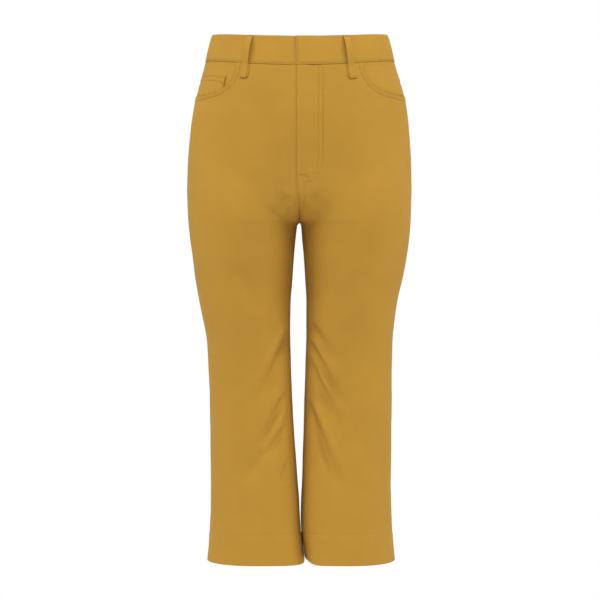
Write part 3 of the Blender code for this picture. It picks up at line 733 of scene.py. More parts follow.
def even_columns(side, start, end, near, far, spacing):
    """down and around of rows from start to end, with columns at even distances along each."""
    share = np.linspace(0, 1, 61)
    down = mix(start[0][:, None], end[0][:, None], share)
    around = mix(start[1][:, None], end[1][:, None], share)
    lengths = walked(surface(side, down, around), 1)
    inside = lengths[:, -1].max() - near[-1] - far[-1]
    count = max(3, int(round(inside / spacing)) + 1)
    shares = []
    for length in lengths:
        width = length[-1]
        fit = min(1.0, 0.45 * width / max(near[-1], far[-1]))
        first, last = near * fit, width - far[::-1] * fit
        middle = np.linspace(first[-1], last[0], count)[1:-1]
        shares.append(np.interp(np.concatenate([first, middle, last]), length, share))
    shares = np.array(shares)
    return mix(start[0][:, None], end[0][:, None], shares), mix(start[1][:, None], end[1][:, None], shares)


def edge_distances(points):
    """Distance of each point of a grid from its first and last column, and first and last row."""
    across, along = walked(points, 1), walked(points, 0)
    return across, across[:, -1:] - across, along, along[-1:] - along


def rolled(distance, radius):
    """How far a rounded edge has dropped, at a distance from it."""
    reach = np.clip(1 - distance / radius, 0, 1)
    return radius * (1 - np.sqrt(np.clip(1 - reach**2, 0, 1)))


def seam_form(distance):
    """A sewn seam: pulled in along its line, with the pressed allowance showing beside it."""
    return -0.6 * bell(distance, 1.2) + 0.22 * bell(distance - 6.0, 4.0)


def point_tree(points):
    """A search tree over points."""
    tree = KDTree(len(points))
    for i, p in enumerate(points):
        tree.insert(p, i)
    tree.balance()
    return tree


def nearest_row(points, side, lines):
    """Distance from each point to the nearest sewn line, and how far along that line it is."""
    if not lines:
        return np.full(points.shape[:-1], FAR_AWAY), np.zeros(points.shape[:-1])
    samples, lengths = [], []
    for down, around in lines:
        line = surface(side, down, around)
        length = walked(line, 0)
        fine = np.arange(0, length[-1], 0.5)
        samples.append(read_along(fine, length, line))
        lengths.append(fine)
    samples, lengths = np.concatenate(samples), np.concatenate(lengths)
    tree = point_tree(samples)
    found = [tree.find(p)[1:] for p in points.reshape(-1, 3)]
    index = np.array([f[0] for f in found])
    distance = np.array([f[1] for f in found])
    return distance.reshape(points.shape[:-1]), lengths[index].reshape(points.shape[:-1])


def sewing_form(points, side, lines, pucker):
    """The groove that a row of stitches pulls into the cloth, and the small waves beside it."""
    distance, along = nearest_row(points, side, lines)
    waves = np.sin(along * PUCKER_TURN + PUCKER_DRIFT * np.sin(along * DRIFT_TURN))
    return pucker * waves * bell(distance, PUCKER_REACH) - GROOVE_DEPTH * bell(distance, GROOVE_WIDTH)


def grain(points, reference):
    """UV in metres: across from a reference column, and down along it."""
    across, along = walked(points, 1), walked(points, 0)
    u = across - across[:, reference : reference + 1]
    v = np.broadcast_to(along[:, reference : reference + 1], u.shape)
    return np.stack([u, -v], -1) * METRES


def shell_parts(outer, inner):
    """Vertices and faces of a closed wall between two grids of points."""
    rows, columns = outer.shape[:2]
    count = rows * columns
    index = np.arange(count).reshape(rows, columns)
    a, b, c, d = index[:-1, :-1], index[1:, :-1], index[1:, 1:], index[:-1, 1:]
    top = np.stack([a, b, c, d], -1).reshape(-1, 4)
    under = np.stack([a, d, c, b], -1).reshape(-1, 4) + count
    rim = np.concatenate([index[0, :-1], index[:-1, -1], index[-1, :0:-1], index[:0:-1, 0]])
    after = np.roll(rim, -1)
    edge = np.stack([rim, after, after + count, rim + count], -1)
    points = np.concatenate([outer.reshape(-1, 3), inner.reshape(-1, 3)])
    return points, np.concatenate([top, under, edge])


def make_object(name, points, faces, material):
    """One smooth mesh at the origin, with its faces turned outwards."""
    data = bpy.data.meshes.new(name)
    data.from_pydata((points * METRES).tolist(), [], faces)
    mesh = bmesh.new()
    mesh.from_mesh(data)
    bmesh.ops.recalc_face_normals(mesh, faces=mesh.faces)
    mesh.to_mesh(data)
    mesh.free()
    data.materials.append(material)
    data.shade_smooth()
    piece = bpy.data.objects.new(name, data)
    bpy.context.scene.collection.objects.link(piece)
    return piece


def make_piece(name, shells, material):
    """One object from (outer, inner, uv) grids, each a closed wall."""
    points, faces, uvs, start = [], [], [], 0
    for outer, inner, uv in shells:
        shell_points, shell_faces = shell_parts(outer, inner)
        points.append(shell_points)
        faces.append(shell_faces + start)
        uvs.append(np.concatenate([uv.reshape(-1, 2)] * 2))
        start += len(shell_points)
    piece = make_object(name, np.concatenate(points), np.concatenate(faces).tolist(), material)
    corner = np.empty(len(piece.data.loops), int)
    piece.data.loops.foreach_get("vertex_index", corner)
    uv_layer = piece.data.uv_layers.new(name="grain")
    uv_layer.data.foreach_set("uv", np.concatenate(uvs)[corner].ravel())
    return piece


def make_cloth(node, shells, looks):
    """One piece of cloth: what it stands for, what it is cut to and what it is made of."""
    piece = make_piece(node + "_cloth", shells, gabardine(looks))
    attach(piece, "root")
    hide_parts(node)


def make_panel(node, side, grid, outer, inner, looks, under=0.0, at_back=False, warp_across=False):
    """A cut piece on a grid of down and around, between its outer and inner forms.

    The inner face lies so many millimetres under its form. A piece that reaches the centre back
    meets the other half there.
    """
    down, around = grid
    uneven = looks.unevenness / METRES
    faces = [cloth_points(side, down, around, outer, uneven)]
    faces.append(cloth_points(side, down, around, inner, uneven, under))
    if at_back:
        faces = [meet_at_back(points, down) for points in faces]
    weave = grain(surface(side, down, around), down.shape[1] // 2)
    if warp_across:
        weave = weave[..., ::-1]
    make_cloth(node, [(*faces, weave)], looks)


# ---- materials ---------------------------------------------------------------------------------
TWILL_DEGREES = 58  # the ribs' turn from the warp
YARNS_A_METRE = (2600, 520)  # spots of uneven yarn, across the warp and along it
def add_node(tree, kind, inputs=(), **settings):
    """A node with its settings, and its inputs given a value or linked to a socket."""
    node = tree.nodes.new(kind)
    for name, value in settings.items():
        setattr(node, name, value)
    for name, value in dict(inputs).items():
        if isinstance(value, bpy.types.NodeSocket):
            tree.links.new(value, node.inputs[name])
        else:
            node.inputs[name].default_value = value
    return node


def mixed(tree, share, first, second):
    """The colour between two others, each a value or a socket."""
    return add_node(
        tree, "ShaderNodeMix", {0: share, 6: first, 7: second}, data_type="RGBA"
    ).outputs[2]


def tinted(colour, gain):
    return tuple(min(1.0, c * gain) for c in colour) + (1.0,)


def new_material(name, numbers):
    """A material, its nodes and its shader, with the shader's plain numbers set."""
    made = bpy.data.materials.new(name)
    made.use_nodes = True
    shader = made.node_tree.nodes["Principled BSDF"]
    for socket, value in numbers.items():
        shader.inputs[socket].default_value = value
    return made, made.node_tree, shader


def on_object(tree, **inputs):
    """Noise laid out in the object's own space."""
    place_map = add_node(tree, "ShaderNodeTexCoord").outputs["Object"]
    values = {name.title(): value for name, value in inputs.items()}
    return add_node(tree, "ShaderNodeTexNoise", {"Vector": place_map, **values}).outputs["Fac"]


def gabardine(looks):
    """A fine cotton twill: diagonal ribs, uneven yarns, a soft bloom at the edges."""
    name = "mustard_gabardine"
    if name in bpy.data.materials:
        return bpy.data.materials[name]
    numbers = {
        "Roughness": 0.86,
        "Specular IOR Level": 0.22,
        "Sheen Weight": 0.14,
        "Sheen Roughness": 0.45,
        "Sheen Tint": (1.0, 0.76, 0.30, 1.0),
    }
    made, tree, shader = new_material(name, numbers)

    grain_map = add_node(tree, "ShaderNodeUVMap", uv_map="grain").outputs["UV"]
    slant = {"Vector": grain_map, "Rotation": (0, 0, math.radians(-TWILL_DEGREES))}
    wave = {
        "Vector": add_node(tree, "ShaderNodeMapping", slant).outputs["Vector"],
        "Scale": math.pi / 10 / looks.twill_pitch,
        "Distortion": 1.2,
        "Detail": 1.0,
        "Detail Scale": 0.35,
    }
    ribs = add_node(tree, "ShaderNodeTexWave", wave).outputs["Fac"]
    stretch = add_node(tree, "ShaderNodeMapping", {"Vector": grain_map, "Scale": (*YARNS_A_METRE, 1)})
    yarn_noise = {"Vector": stretch.outputs["Vector"], "Scale": 1.0, "Detail": 2.0}
    yarns = add_node(tree, "ShaderNodeTexNoise", yarn_noise).outputs["Fac"]
    patches = on_object(tree, scale=14.0, detail=3.0, roughness=0.6)

    cloth = looks.cloth_colour
    by_yarn = mixed(tree, yarns, tinted(cloth, 0.90), (*cloth, 1.0))
    rib_share = add_node(tree, "ShaderNodeMath", {0: ribs, 1: 0.35}, operation="MULTIPLY").outputs[0]
    by_rib = mixed(tree, rib_share, by_yarn, tinted(cloth, 1.07))
    spread = {"Value": patches, "From Min": 0.3, "From Max": 0.7, "To Min": 0.965, "To Max": 1.035}
    value = add_node(tree, "ShaderNodeMapRange", spread).outputs["Result"]
    by_patch = add_node(tree, "ShaderNodeHueSaturation", {"Value": value, "Color": by_rib})
    tree.links.new(by_patch.outputs["Color"], shader.inputs["Base Color"])

    rib_relief = {"Strength": 0.35, "Distance": 0.00012, "Height": ribs}
    under = add_node(tree, "ShaderNodeBump", rib_relief).outputs["Normal"]
    yarn_relief = {"Strength": 0.30, "Distance": 0.00010, "Height": yarns, "Normal": under}
    bump = add_node(tree, "ShaderNodeBump", yarn_relief)
    tree.links.new(bump.outputs["Normal"], shader.inputs["Normal"])
    return made


def thread(looks):
    """Tonal polyester-cotton thread with a faint twist, darkened by painted shade on the needle holes and bar
    tacks.
    """
    name = "tonal_thread"
    if name in bpy.data.materials:
        return bpy.data.materials[name]
    made, tree, shader = new_material(name, {"Roughness": 0.8, "Specular IOR Level": 0.15})
    twist = on_object(tree, scale=900.0)
    strand = mixed(tree, twist, tinted(looks.thread_colour, 0.8), tinted(looks.thread_colour, 1.1))
    sunk = add_node(tree, "ShaderNodeAttribute", attribute_name="sunk").outputs["Fac"]
    # painted shade: the needle holes, and the bar tacks in part, take a dark shade of the cloth's colour
    with_painted_shade = mixed(tree, sunk, strand, tinted(looks.cloth_colour, PAINTED_HOLE_SHADE))
    tree.links.new(with_painted_shade, shader.inputs["Base Color"])
    twist_relief = {"Strength": 0.4, "Distance": 0.0001, "Height": twist}
    bump = add_node(tree, "ShaderNodeBump", twist_relief)
    tree.links.new(bump.outputs["Normal"], shader.inputs["Normal"])
    return made


def paper_floor():
    """Matt white paper with a faint tooth."""
    made, tree, shader = new_material("paper_floor", {"Roughness": 0.9, "Specular IOR Level": 0.1})
    tooth = on_object(tree, scale=60.0)
    paper = mixed(tree, tooth, (0.90, 0.90, 0.90, 1.0), (0.94, 0.94, 0.94, 1.0))
    tree.links.new(paper, shader.inputs["Base Color"])
    return made


# ---- the panels --------------------------------------------------------------------------------
def meet_at_back(points, down):
    """Above the crotch, bring a half's last column to the centre, where the other half's begins."""
    points[:, -1, 0] = np.where(down[:, -1] < 1, 0.0, points[:, -1, 0])
    return points


def seam_inset(side, down, around):
    return SEAM_GAP / 2 / millimetres_per_around(side, down, around)


def leg_downs(spacing):
    """Rows from the crotch to the hem, closer at the hem's fold and at its turned-up edge."""
    length = CROTCH_Z - HEM_Z
    edge = length - HEM_DEPTH
    top = np.linspace(0, edge - 4, int((edge - 4) / spacing))[1:]
    turned = edge + TURNED_STEPS
    last = length - EDGE_STEPS[::-1] * 1.6
    between = np.linspace(turned[-1], last[0], int((last[0] - turned[-1]) / spacing) + 1)[1:-1]
    return 1 + np.concatenate([top, turned, between, last]) / length


def hem_inside(down, cloth):
    """How far in the wall's inner face lies: two layers where the hem is turned up."""
    above_hem = (2 - down) * (CROTCH_Z - HEM_Z)
    return mix(HEM_LAYERS_IN, -cloth, ease((above_hem - HEM_DEPTH + 1.2) / 2.4))


def hem_form(points, down):
    """The blind-stitched line outside, and the slight raise where the hem lies doubled."""
    above_hem = (2 - down) * (CROTCH_Z - HEM_Z)
    pricks = 0.5 + 0.5 * np.cos(2 * math.pi * points[..., 0] / 6.5)
    line = -0.22 * bell(above_hem - HEM_DEPTH, 1.6) * (0.55 + 0.45 * pricks)
    doubled = 0.16 * ease((HEM_DEPTH - above_hem) / 5.0)
    return line + doubled


def front_edge_out(side, down):
    """How far the left front reaches over the centre line; the right front stops short of it."""
    if side < 0:
        return np.full_like(down, -SEAM_GAP / 2)
    taper = ease((LAP_END_DOWN - down) / (LAP_END_DOWN - FLY_END_DOWN))
    return mix(FELL_LAP, FLY_LAP, taper)


def fly_raise(side, down, around):
    """The left front's lap lies on the right front and slopes down to its own side."""
    if side < 0:
        return np.zeros(np.broadcast(down, around).shape)
    from_centre = around * millimetres_per_around(side, down, 0.0)
    above = ease((RAISE_END_DOWN - down) / (RAISE_END_DOWN - FELL_START_DOWN))
    height = mix(FELL_RAISE * ease((1.0 - down) / 0.03), LAP_RAISE, above)
    return height * ease(1 - (from_centre - 1.0) / LAP_RAMP)


def front_grid(side, spacing):
    """down and around of a front's grid, whose first rows end along the pocket mouth."""
    mouth_down, mouth_around = pocket_mouth(MOUTH_TURNS)
    at_row = POCKET_DOWN + ROW_STEPS[1:] / float(millimetres_per_down(side, POCKET_DOWN, 0.45))
    fine = np.linspace(*FLY_CURVE_DOWN, 34) if side > 0 else np.array(FLY_CURVE_DOWN)
    above_it, below_it = (
        np.linspace(a, b, 2 + int(FRONT_RISE * (b - a) / spacing))
        for a, b in ((at_row[-1], fine[0]), (fine[-1], 1))
    )
    below = np.concatenate([at_row[:-1], above_it[:-1], fine[:-1], below_it])
    rest = np.concatenate([below, leg_downs(spacing)])
    side_down = np.concatenate([mouth_down, rest])
    seam_down = np.concatenate([POCKET_DOWN * MOUTH_TURNS, rest])
    side_around = np.concatenate([mouth_around, np.full(len(rest), 0.5)])
    per_around = millimetres_per_around(side, np.minimum(seam_down, 0.999), 0.0)
    edge = -front_edge_out(side, seam_down) / per_around
    on_leg = seam_down >= 1
    edge = np.where(on_leg, seam_inset(side, np.maximum(seam_down, 1.001), 0.0), edge)
    side_around = side_around - seam_inset(side, side_down, side_around - 0.01)
    near = ROW_STEPS
    if side > 0:
        near = np.concatenate([ROW_STEPS, FLY_TURN_STEPS, FLY_ROW_STEPS])
    down, around = even_columns(side, (seam_down, edge), (side_down, side_around), near, ROW_STEPS, spacing)
    top = SEAM_GAP / 2 / millimetres_per_down(side, 0.01, 0.25)
    return np.maximum(down, top), around


def from_mouth(side, down, around, points):
    """Distance of a front's points from its pocket mouth, for those that lie anywhere near it."""
    tree = point_tree(surface(side, *pocket_mouth(np.linspace(0, 1, 400))))
    near = (down < POCKET_DOWN + 0.2) & (around > 0.1)
    distance = np.full(down.shape, FAR_AWAY)
    distance[near] = [tree.find(p)[2] for p in points[near]]
    return distance


def front_panel(side, looks):
    """From the waist seam to the hem, with the pocket scooped out of its upper corner."""
    cloth = looks.cloth_thickness / METRES
    name = piece_name("front", side)
    down, around = front_grid(side, looks.grid_spacing / METRES)
    base = surface(side, down, around)
    to_centre, to_side, to_top, to_bottom = edge_distances(base)
    at_mouth = np.arange(len(down))[:, None] < len(MOUTH_TURNS)
    to_mouth = from_mouth(side, down, around, base)
    is_lap = (side > 0) * ease((LAP_END_DOWN - down) / 0.05)
    form = fly_raise(side, down, around)
    form -= is_lap * rolled(to_centre, 0.5)
    form += (1 - is_lap) * seam_form(to_centre)
    form += np.where(at_mouth, 0.0, seam_form(to_side))
    lip = MOUTH_LIP * bell(to_mouth, 6.0)
    form += lip - rolled(to_mouth, 0.6) + 0.25 * bell(to_mouth - 4.2, 2.4)
    form += 0.5 * seam_form(to_top) - rolled(to_bottom, HEM_ROLL) + hem_form(base, down)
    felled = ease((down - FELL_START_DOWN) / SEAM_RAMP) * ease((1.0 - down) / SEAM_RAMP) * (side > 0)
    on_inseam = 0.35 * ease((down - 1.0) / SEAM_RAMP) * bell(to_centre - RIDGE_AT, RIDGE_WIDTH)
    form += 0.45 * felled * bell(to_centre - 4.8, 3.6) + on_inseam
    form += sewing_form(base, side, sewn_rows(name), looks.pucker / METRES)
    raised = fly_raise(side, down, around) + lip
    under = np.maximum(-hem_inside(down, cloth) - rolled(to_bottom, HEM_ROLL), raised - form + THIN_WALL)
    make_panel(name, side, (down, around), form, raised, looks, under)


def back_panel(side, looks):
    """From the yoke to the hem."""
    spacing = looks.grid_spacing / METRES
    cloth = looks.cloth_thickness / METRES
    name = piece_name("back", side)
    share = np.concatenate([BACK_FIRST_SHARES, np.linspace(0.022, 1, int(BACK_RISE / spacing))])
    legs = leg_downs(spacing)
    start_down = np.concatenate([mix(YOKE_SIDE_DOWN, 1.0, share), legs])
    end_down = np.concatenate([mix(YOKE_CENTRE_DOWN, 1.0, share), legs])
    start = 0.5 + seam_inset(side, start_down, 0.51)
    end = np.full(len(end_down), 1.0)
    on_leg = end_down > 1
    end[on_leg] -= seam_inset(side, end_down[on_leg], 1.0)
    down, around = even_columns(side, (start_down, start), (end_down, end), EDGE_STEPS, ROW_STEPS, spacing)
    inset = SEAM_GAP / 2 / millimetres_per_down(side, 0.2, 0.75)
    down = np.maximum(down, yoke_seam_down(around) + inset)

    base = surface(side, down, around)
    to_side, to_centre, to_top, to_bottom = edge_distances(base)
    form = seam_form(to_side) + seam_form(to_centre) + seam_form(to_top)
    form += hem_form(base, down) - rolled(to_bottom, HEM_ROLL)
    felled = ease((1.0 - down) / SEAM_RAMP) if side > 0 else np.zeros_like(down)
    form += 0.35 * felled * bell(to_centre - RIDGE_AT, RIDGE_WIDTH)
    form += sewing_form(base, side, sewn_rows(name), looks.pucker / METRES)
    under = np.maximum(-hem_inside(down, cloth) - rolled(to_bottom, HEM_ROLL), THIN_WALL - form)
    make_panel(name, side, (down, around), form, np.zeros_like(form), looks, under, at_back=True)


def yoke(side, looks):
    """The shaped piece between the waistband and the back panel."""
    spacing = looks.grid_spacing / METRES
    name = piece_name("yoke", side)
    inset = SEAM_GAP / 2 / float(millimetres_per_down(side, 0.05, 0.75))
    start_down = mix(inset, YOKE_SIDE_DOWN - inset, YOKE_SHARES)
    end_down = mix(inset, YOKE_CENTRE_DOWN - inset, YOKE_SHARES)
    start = 0.5 + seam_inset(side, start_down, 0.51)
    end = np.full(len(YOKE_SHARES), 1.0)
    down, around = even_columns(side, (start_down, start), (end_down, end), EDGE_STEPS, ROW_STEPS, spacing)
    base = surface(side, down, around)
    to_side, to_centre, to_top, to_bottom = edge_distances(base)
    form = seam_form(to_side) + seam_form(to_centre) + seam_form(to_top)
    form += 0.3 * bell(to_bottom - RIDGE_AT, RIDGE_WIDTH)
    form -= rolled(to_bottom, 0.4)
    form += sewing_form(base, side, sewn_rows(name), looks.pucker / METRES)
    inner = np.minimum(-looks.cloth_thickness / METRES, form - THIN_WALL)
    make_panel(name, side, (down, around), form, inner, looks, at_back=True)


def under_panel(down, around):
    """Share of the mouth's size by which a point lies beyond the mouth's edge, under the panel."""
    across = np.clip(1 - (around - POCKET_AROUND) / (0.5 - POCKET_AROUND), 0, None)
    reach = across**POCKET_SQUARENESS + (down / POCKET_DOWN) ** POCKET_SQUARENESS
    return np.maximum(reach ** (1 / POCKET_SQUARENESS) - 1, 0)


def facing_out(down, around):
    """How far out the facing lies: it sinks where it runs on under the panel."""
    return FACING_OUT - FACING_SINK * ease(under_panel(down, around) / 0.07)


def coin_slit(side, down, around):
    """Depth of the shadowed gap beside the coin pocket's free edge, down to the mouth's lip."""
    from_edge = (COIN_EDGE_AROUND - around) * millimetres_per_around(side, down, around)
    from_top = (down - COIN_TOP_DOWN) * millimetres_per_down(side, down, around)
    open_at = ease((from_top + 1.0) / 1.5) * (from_edge > -0.3) * (from_edge < SLIT_WIDTH)
    return SLIT_DEPTH * open_at


def pocket_facing(side, looks):
    """The piece seen in the pocket's scoop, running on under the mouth's edge and sinking there."""
    name = piece_name("pocket_facing", side)
    margin_down = FACING_MARGIN / millimetres_per_down(side, 0.2, 0.4)
    margin_around = FACING_MARGIN / millimetres_per_around(side, 0.1, 0.25)
    around = np.linspace(POCKET_AROUND - margin_around, 0.5, 44)
    if side < 0:
        beside_edge = np.array([-1.2, -0.6, -0.2, 0.0, 0.6, SLIT_WIDTH - 0.1, SLIT_WIDTH + 0.4, 2.4])
        beside_edge = COIN_EDGE_AROUND - beside_edge / millimetres_per_around(side, 0.1, COIN_EDGE_AROUND)
        away = np.abs(around[:, None] - beside_edge).min(1) > 0.3 * (around[1] - around[0])
        around = np.sort(np.concatenate([around[away], beside_edge]))
    inward = (around - around[0]) / (0.5 - around[0])
    bottom = (POCKET_DOWN + margin_down) * (0.45 + 0.55 * np.sin(math.pi / 2 * np.sqrt(inward)))
    down = bottom[None, :] * np.linspace(0, 1, 28)[:, None]
    down[0] = SEAM_GAP / 2 / millimetres_per_down(side, 0.01, around)
    around = np.broadcast_to(around, down.shape).copy()
    around[:, -1] -= seam_inset(side, down[:, -1], 0.49)
    base = surface(side, down, around)
    _, to_side, to_top, _ = edge_distances(base)
    form = facing_out(down, around) + 0.9 * bell(to_top, 4.0) + 0.8 * bell(to_side, 3.0)
    if side < 0:
        form -= coin_slit(side, down, around)
    make_panel(name, side, (down, around), form, form, looks, looks.cloth_thickness / METRES)


def coin_pocket(looks):
    """The small pocket on the right facing. Its upper inner corner gapes a little."""
    side = -1
    around = np.linspace(COIN_EDGE_AROUND, 0.5, 34)
    around[-1] -= seam_inset(side, 0.1, 0.49)
    bottom = mouth_down_at(around) + COIN_UNDER_LIP / millimetres_per_down(side, 0.15, 0.4)
    share = np.concatenate([[0, 0.012, 0.03, 0.055, 0.085], np.linspace(0.13, 1, 16)])[:, None]
    down = mix(np.full_like(bottom, COIN_TOP_DOWN)[None, :], bottom[None, :], share)
    around = np.broadcast_to(around, down.shape)
    base = surface(side, down, around)
    to_edge, _, to_top, to_bottom = edge_distances(base)
    gape = COIN_GAPE * bell(to_edge, 5.0) * ease((to_bottom - COIN_UNDER_LIP) / 6.0)
    raised = facing_out(down, around) + COIN_CLEARANCE + COIN_THICKNESS + gape
    form = raised - rolled(to_top, 0.4) - rolled(to_edge, 0.4)
    form += 0.6 * sewing_form(base, side, sewn_rows("coin_pocket"), looks.pucker / METRES)
    under = np.maximum(COIN_THICKNESS, raised - form + 0.12)
    make_panel("coin_pocket", side, (down, around), form, raised, looks, under)


def band_grid(side, per_around, spacing):
    """down of the levels and around of the columns of half the band."""
    reach = BAND_LAP_TOP if side > 0 else BAND_UNDERLAP
    round_it = np.linspace(0, 1, 400)
    lengths = walked(surface(side, -0.5, round_it), 0)
    plain = np.arange(10.0, float(lengths[-1]) - 1, spacing)
    steps = np.concatenate([EDGE_STEPS, np.arange(2.6, 9.0, 1.6), plain]) - reach
    around = np.where(steps < 0, steps / per_around, np.interp(steps, lengths, round_it))
    height = float(millimetres_per_down(side, -0.5, 0.25))
    gap = SEAM_GAP / 2
    levels = np.concatenate([EDGE_STEPS, np.arange(3.0, height - 4, 2.6), height - gap - ROW_STEPS[:7][::-1]])
    down = -1 + levels[:, None] / height
    return np.minimum(down, -gap / height), np.concatenate([around, [1.0]])


def waistband(side, looks):
    """Half of the band. The left end laps over the right end at the centre front."""
    name = piece_name("waistband", side)
    per_around = float(millimetres_per_around(side, -0.5, 0.0))
    down, around = band_grid(side, per_around, looks.grid_spacing / METRES)
    from_centre = around * per_around
    hold, shift = BAND_OVER if side > 0 else BAND_UNDER
    lapped = ease(1 - (from_centre - hold) / BAND_LAP_RAMP) * shift
    slant = ease(1 - from_centre / BAND_SLANT) * (BAND_LAP_TOP - BAND_LAP_BOTTOM if side > 0 else 0.0)
    around = around + (1 + down) * slant / per_around
    down = np.broadcast_to(down, around.shape)
    base = surface(side, down, around)
    to_end, _, to_top, to_bottom = edge_distances(base)
    full = np.sin(math.pi * np.clip(to_top / (to_top + to_bottom), 0, 1))
    form = BAND_OUT + lapped + 0.25 * full - rolled(to_top, 0.85) - 0.8 * rolled(to_bottom, 0.6)
    form -= rolled(to_end, 0.5)
    form += sewing_form(base, side, sewn_rows(name), looks.pucker / METRES)
    inner = np.minimum(BAND_IN + lapped + rolled(to_top, 0.75), form - 0.12)
    make_panel(name, side, (down, around), form, inner, looks, at_back=True, warp_across=True)


# ---- belt loops --------------------------------------------------------------------------------
LOOP_SHARES = np.concatenate([[0, 0.006, 0.016, 0.03], np.linspace(0.05, 0.95, 40), [0.97, 0.984, 0.994, 1]])
LOOP_ACROSS = np.array([-1, -0.965, -0.88, -0.74, -0.4, 0, 0.4, 0.74, 0.88, 0.965, 1])


def loop_heights(share):
    """down and the strip's inner stand-off along a belt loop, from its top to its bottom."""
    down = mix(LOOP_TOP_DOWN, LOOP_BOTTOM_DOWN, share**1.15)
    on_band = ease((0.06 - down) / 0.06)
    rest = LOOP_GAP + BAND_OUT * np.where(down < 0, 1.0, on_band)
    bow = LOOP_STAND_OFF * np.clip(np.sin(math.pi * np.clip((share - 0.07) / 0.86, 0, 1)), 0, 1) ** 0.6
    return down, rest + bow


def loop_strip(side, middle, half, down, outer, inner, uneven):
    """One closed strip of a belt loop, with rolled long edges."""
    per_around = float(millimetres_per_around(side, -0.3, min(float(middle[0]), 0.999)))
    around = middle[:, None] + LOOP_ACROSS * half / per_around
    to_edge = half * (1 - np.abs(LOOP_ACROSS))
    thickness = outer - inner
    drop = rolled(to_edge, 0.6)[None, :] * np.minimum(1.0, thickness / 1.2)[:, None]
    groove = 0.15 * bell(to_edge - 1.4, 0.6)[None, :]
    down = np.broadcast_to(down[:, None], around.shape)
    return (
        cloth_points(side, down, around, outer[:, None] - drop - groove, uneven),
        cloth_points(side, down, around, inner[:, None] + 0.6 * drop, uneven),
        grain(surface(side, down, around), len(LOOP_ACROSS) // 2),
    )


def belt_loop(name, side, top_around, bottom_around, looks):
    """A narrow strip standing off the band, with its ends turned under."""
    half = looks.loop_width / METRES / 2
    uneven = looks.unevenness / METRES
    down, inner = loop_heights(LOOP_SHARES)

    def middle_at(level):
        run = (level - LOOP_TOP_DOWN) / (LOOP_BOTTOM_DOWN - LOOP_TOP_DOWN)
        return mix(top_around, bottom_around, run)

    fold = ease(1 - LOOP_SHARES / 0.05) + ease((LOOP_SHARES - 0.95) / 0.05)
    outer = inner + LOOP_THICKNESS + 0.7 * np.clip(fold, 0, 1)
    outer = outer - rolled(np.minimum(LOOP_SHARES, 1 - LOOP_SHARES) * LOOP_LENGTH, 0.8)
    strips = [loop_strip(side, middle_at(down), half, down, outer, inner, uneven)]
    beside_it = LOOP_TAIL_ASIDE / float(millimetres_per_around(side, 0.03, min(bottom_around, 0.999)))
    low = np.linspace(LOOP_BOTTOM_DOWN - 0.010, 0.006, 12)
    under = 0.1 + 0.2 * ease((0.03 - low) / 0.03)
    strips.append(
        loop_strip(side, middle_at(low) - beside_it, half - 0.2, low, under + 1.1, under, uneven)
    )
    make_cloth(name, strips, looks)


# ---- topstitching ------------------------------------------------------------------------------
SEWN_PIECES = (
    "front_right",
    "front_left",
    "back_left",
    "yoke_right",
    "yoke_left",
    "coin_pocket",
    "waistband_right",
    "waistband_left",
)
BAR_TACKS = (  # piece, x from and to, z from and to, height, down and around to search from
    ("front_left", (-0.6, 9.6), (-194.5, -194.5), 2.2, (0.5, 0.08)),
    ("front_left", (9.8, 9.8), (-192.6, -196.6), 1.5, (0.5, 0.08)),
    ("coin_pocket", (-117.3, -112.3), (-55.8, -58.9), 1.4, (0.15, 0.3)),
)
STATIONS = np.array([-0.5, -0.32, 0.0, 0.32, 0.5])
STATION_LIFT = np.array([-0.45, 0.12, 0.30, 0.12, -0.45])
STATION_GIRTH = np.array([0.75, 1.0, 0.75])
STITCH_SHARE = 0.70  # of the pitch; between two stitches, a small dark piece is painted shade of the needle's hole
HOLE_LENGTH, HOLE_WIDTH, HOLE_HEIGHT = 1.9, 1.5, 0.16
PAINTED_HOLE_SHADE = 0.22  # of the cloth's colour: the painted shade of the needle holes, which the bar tacks take on in part
TACK_PAINTED_SHADE = 0.5  # how far the tacks' thread takes on that painted shade
LEAST_PITCH_WITH_HOLES = 3.0
LAY_FROM, LAY_REACH = 5.0, 12.0  # thread is laid on the cloth from above it, this far at most
HOLE_FACES = [(4, k, (k + 1) % 4) for k in range(4)] + [(5, (k + 1) % 4, k) for k in range(4)]


def stitch_chain(line, normals, pitch, width, with_holes):
    """Vertices and faces of the bowed stitches along a line, and of the small dark pieces between them that
    are painted shade of the needle holes.
    """
    length = walked(line, 0)
    total = length[-1]
    count = max(1, int(round(total / pitch)))
    pitch = total / count
    centre = (np.arange(count) + 0.5) * pitch
    at = centre[:, None] + STATIONS * pitch * STITCH_SHARE
    spot = read_along(at, length, line)
    up = read_along(centre, length, normals)
    up /= np.linalg.norm(up, axis=-1, keepdims=True)
    run = spot[:, -1] - spot[:, 0]
    run /= np.linalg.norm(run, axis=-1, keepdims=True)
    across = np.cross(up, run)
    spot = spot + up[:, None] * (STATION_LIFT * width)[None, :, None]
    ring = []
    for k, girth in enumerate(STATION_GIRTH):
        for a, b in ((1, 0), (0, 0.8), (-1, 0), (0, -0.8)):
            ring.append(spot[:, k + 1] + (across * a + up * b) * girth * width / 2)
    points = np.stack([spot[:, 0], *ring, spot[:, -1]], 1)
    faces = []
    for k in range(4):
        after = (k + 1) % 4
        faces += [(0, 1 + after, 1 + k), (13, 9 + k, 9 + after)]
        for r in (1, 5):
            faces.append((r + k, r + after, r + 4 + after, r + 4 + k))
    # each needle hole gets a small flat dark piece, painted shade of the hole
    if with_holes:
        hole = read_along(centre + pitch / 2, length, line)
        corners = [hole + run * HOLE_LENGTH / 2, hole + across * HOLE_WIDTH / 2]
        corners += [hole - run * HOLE_LENGTH / 2, hole - across * HOLE_WIDTH / 2]
        corners += [hole + up * HOLE_HEIGHT, hole - up * HOLE_HEIGHT]
        points = np.concatenate([points, np.stack(corners, 1)], 1)
        faces += [tuple(14 + i for i in face) for face in HOLE_FACES]
    return points, faces


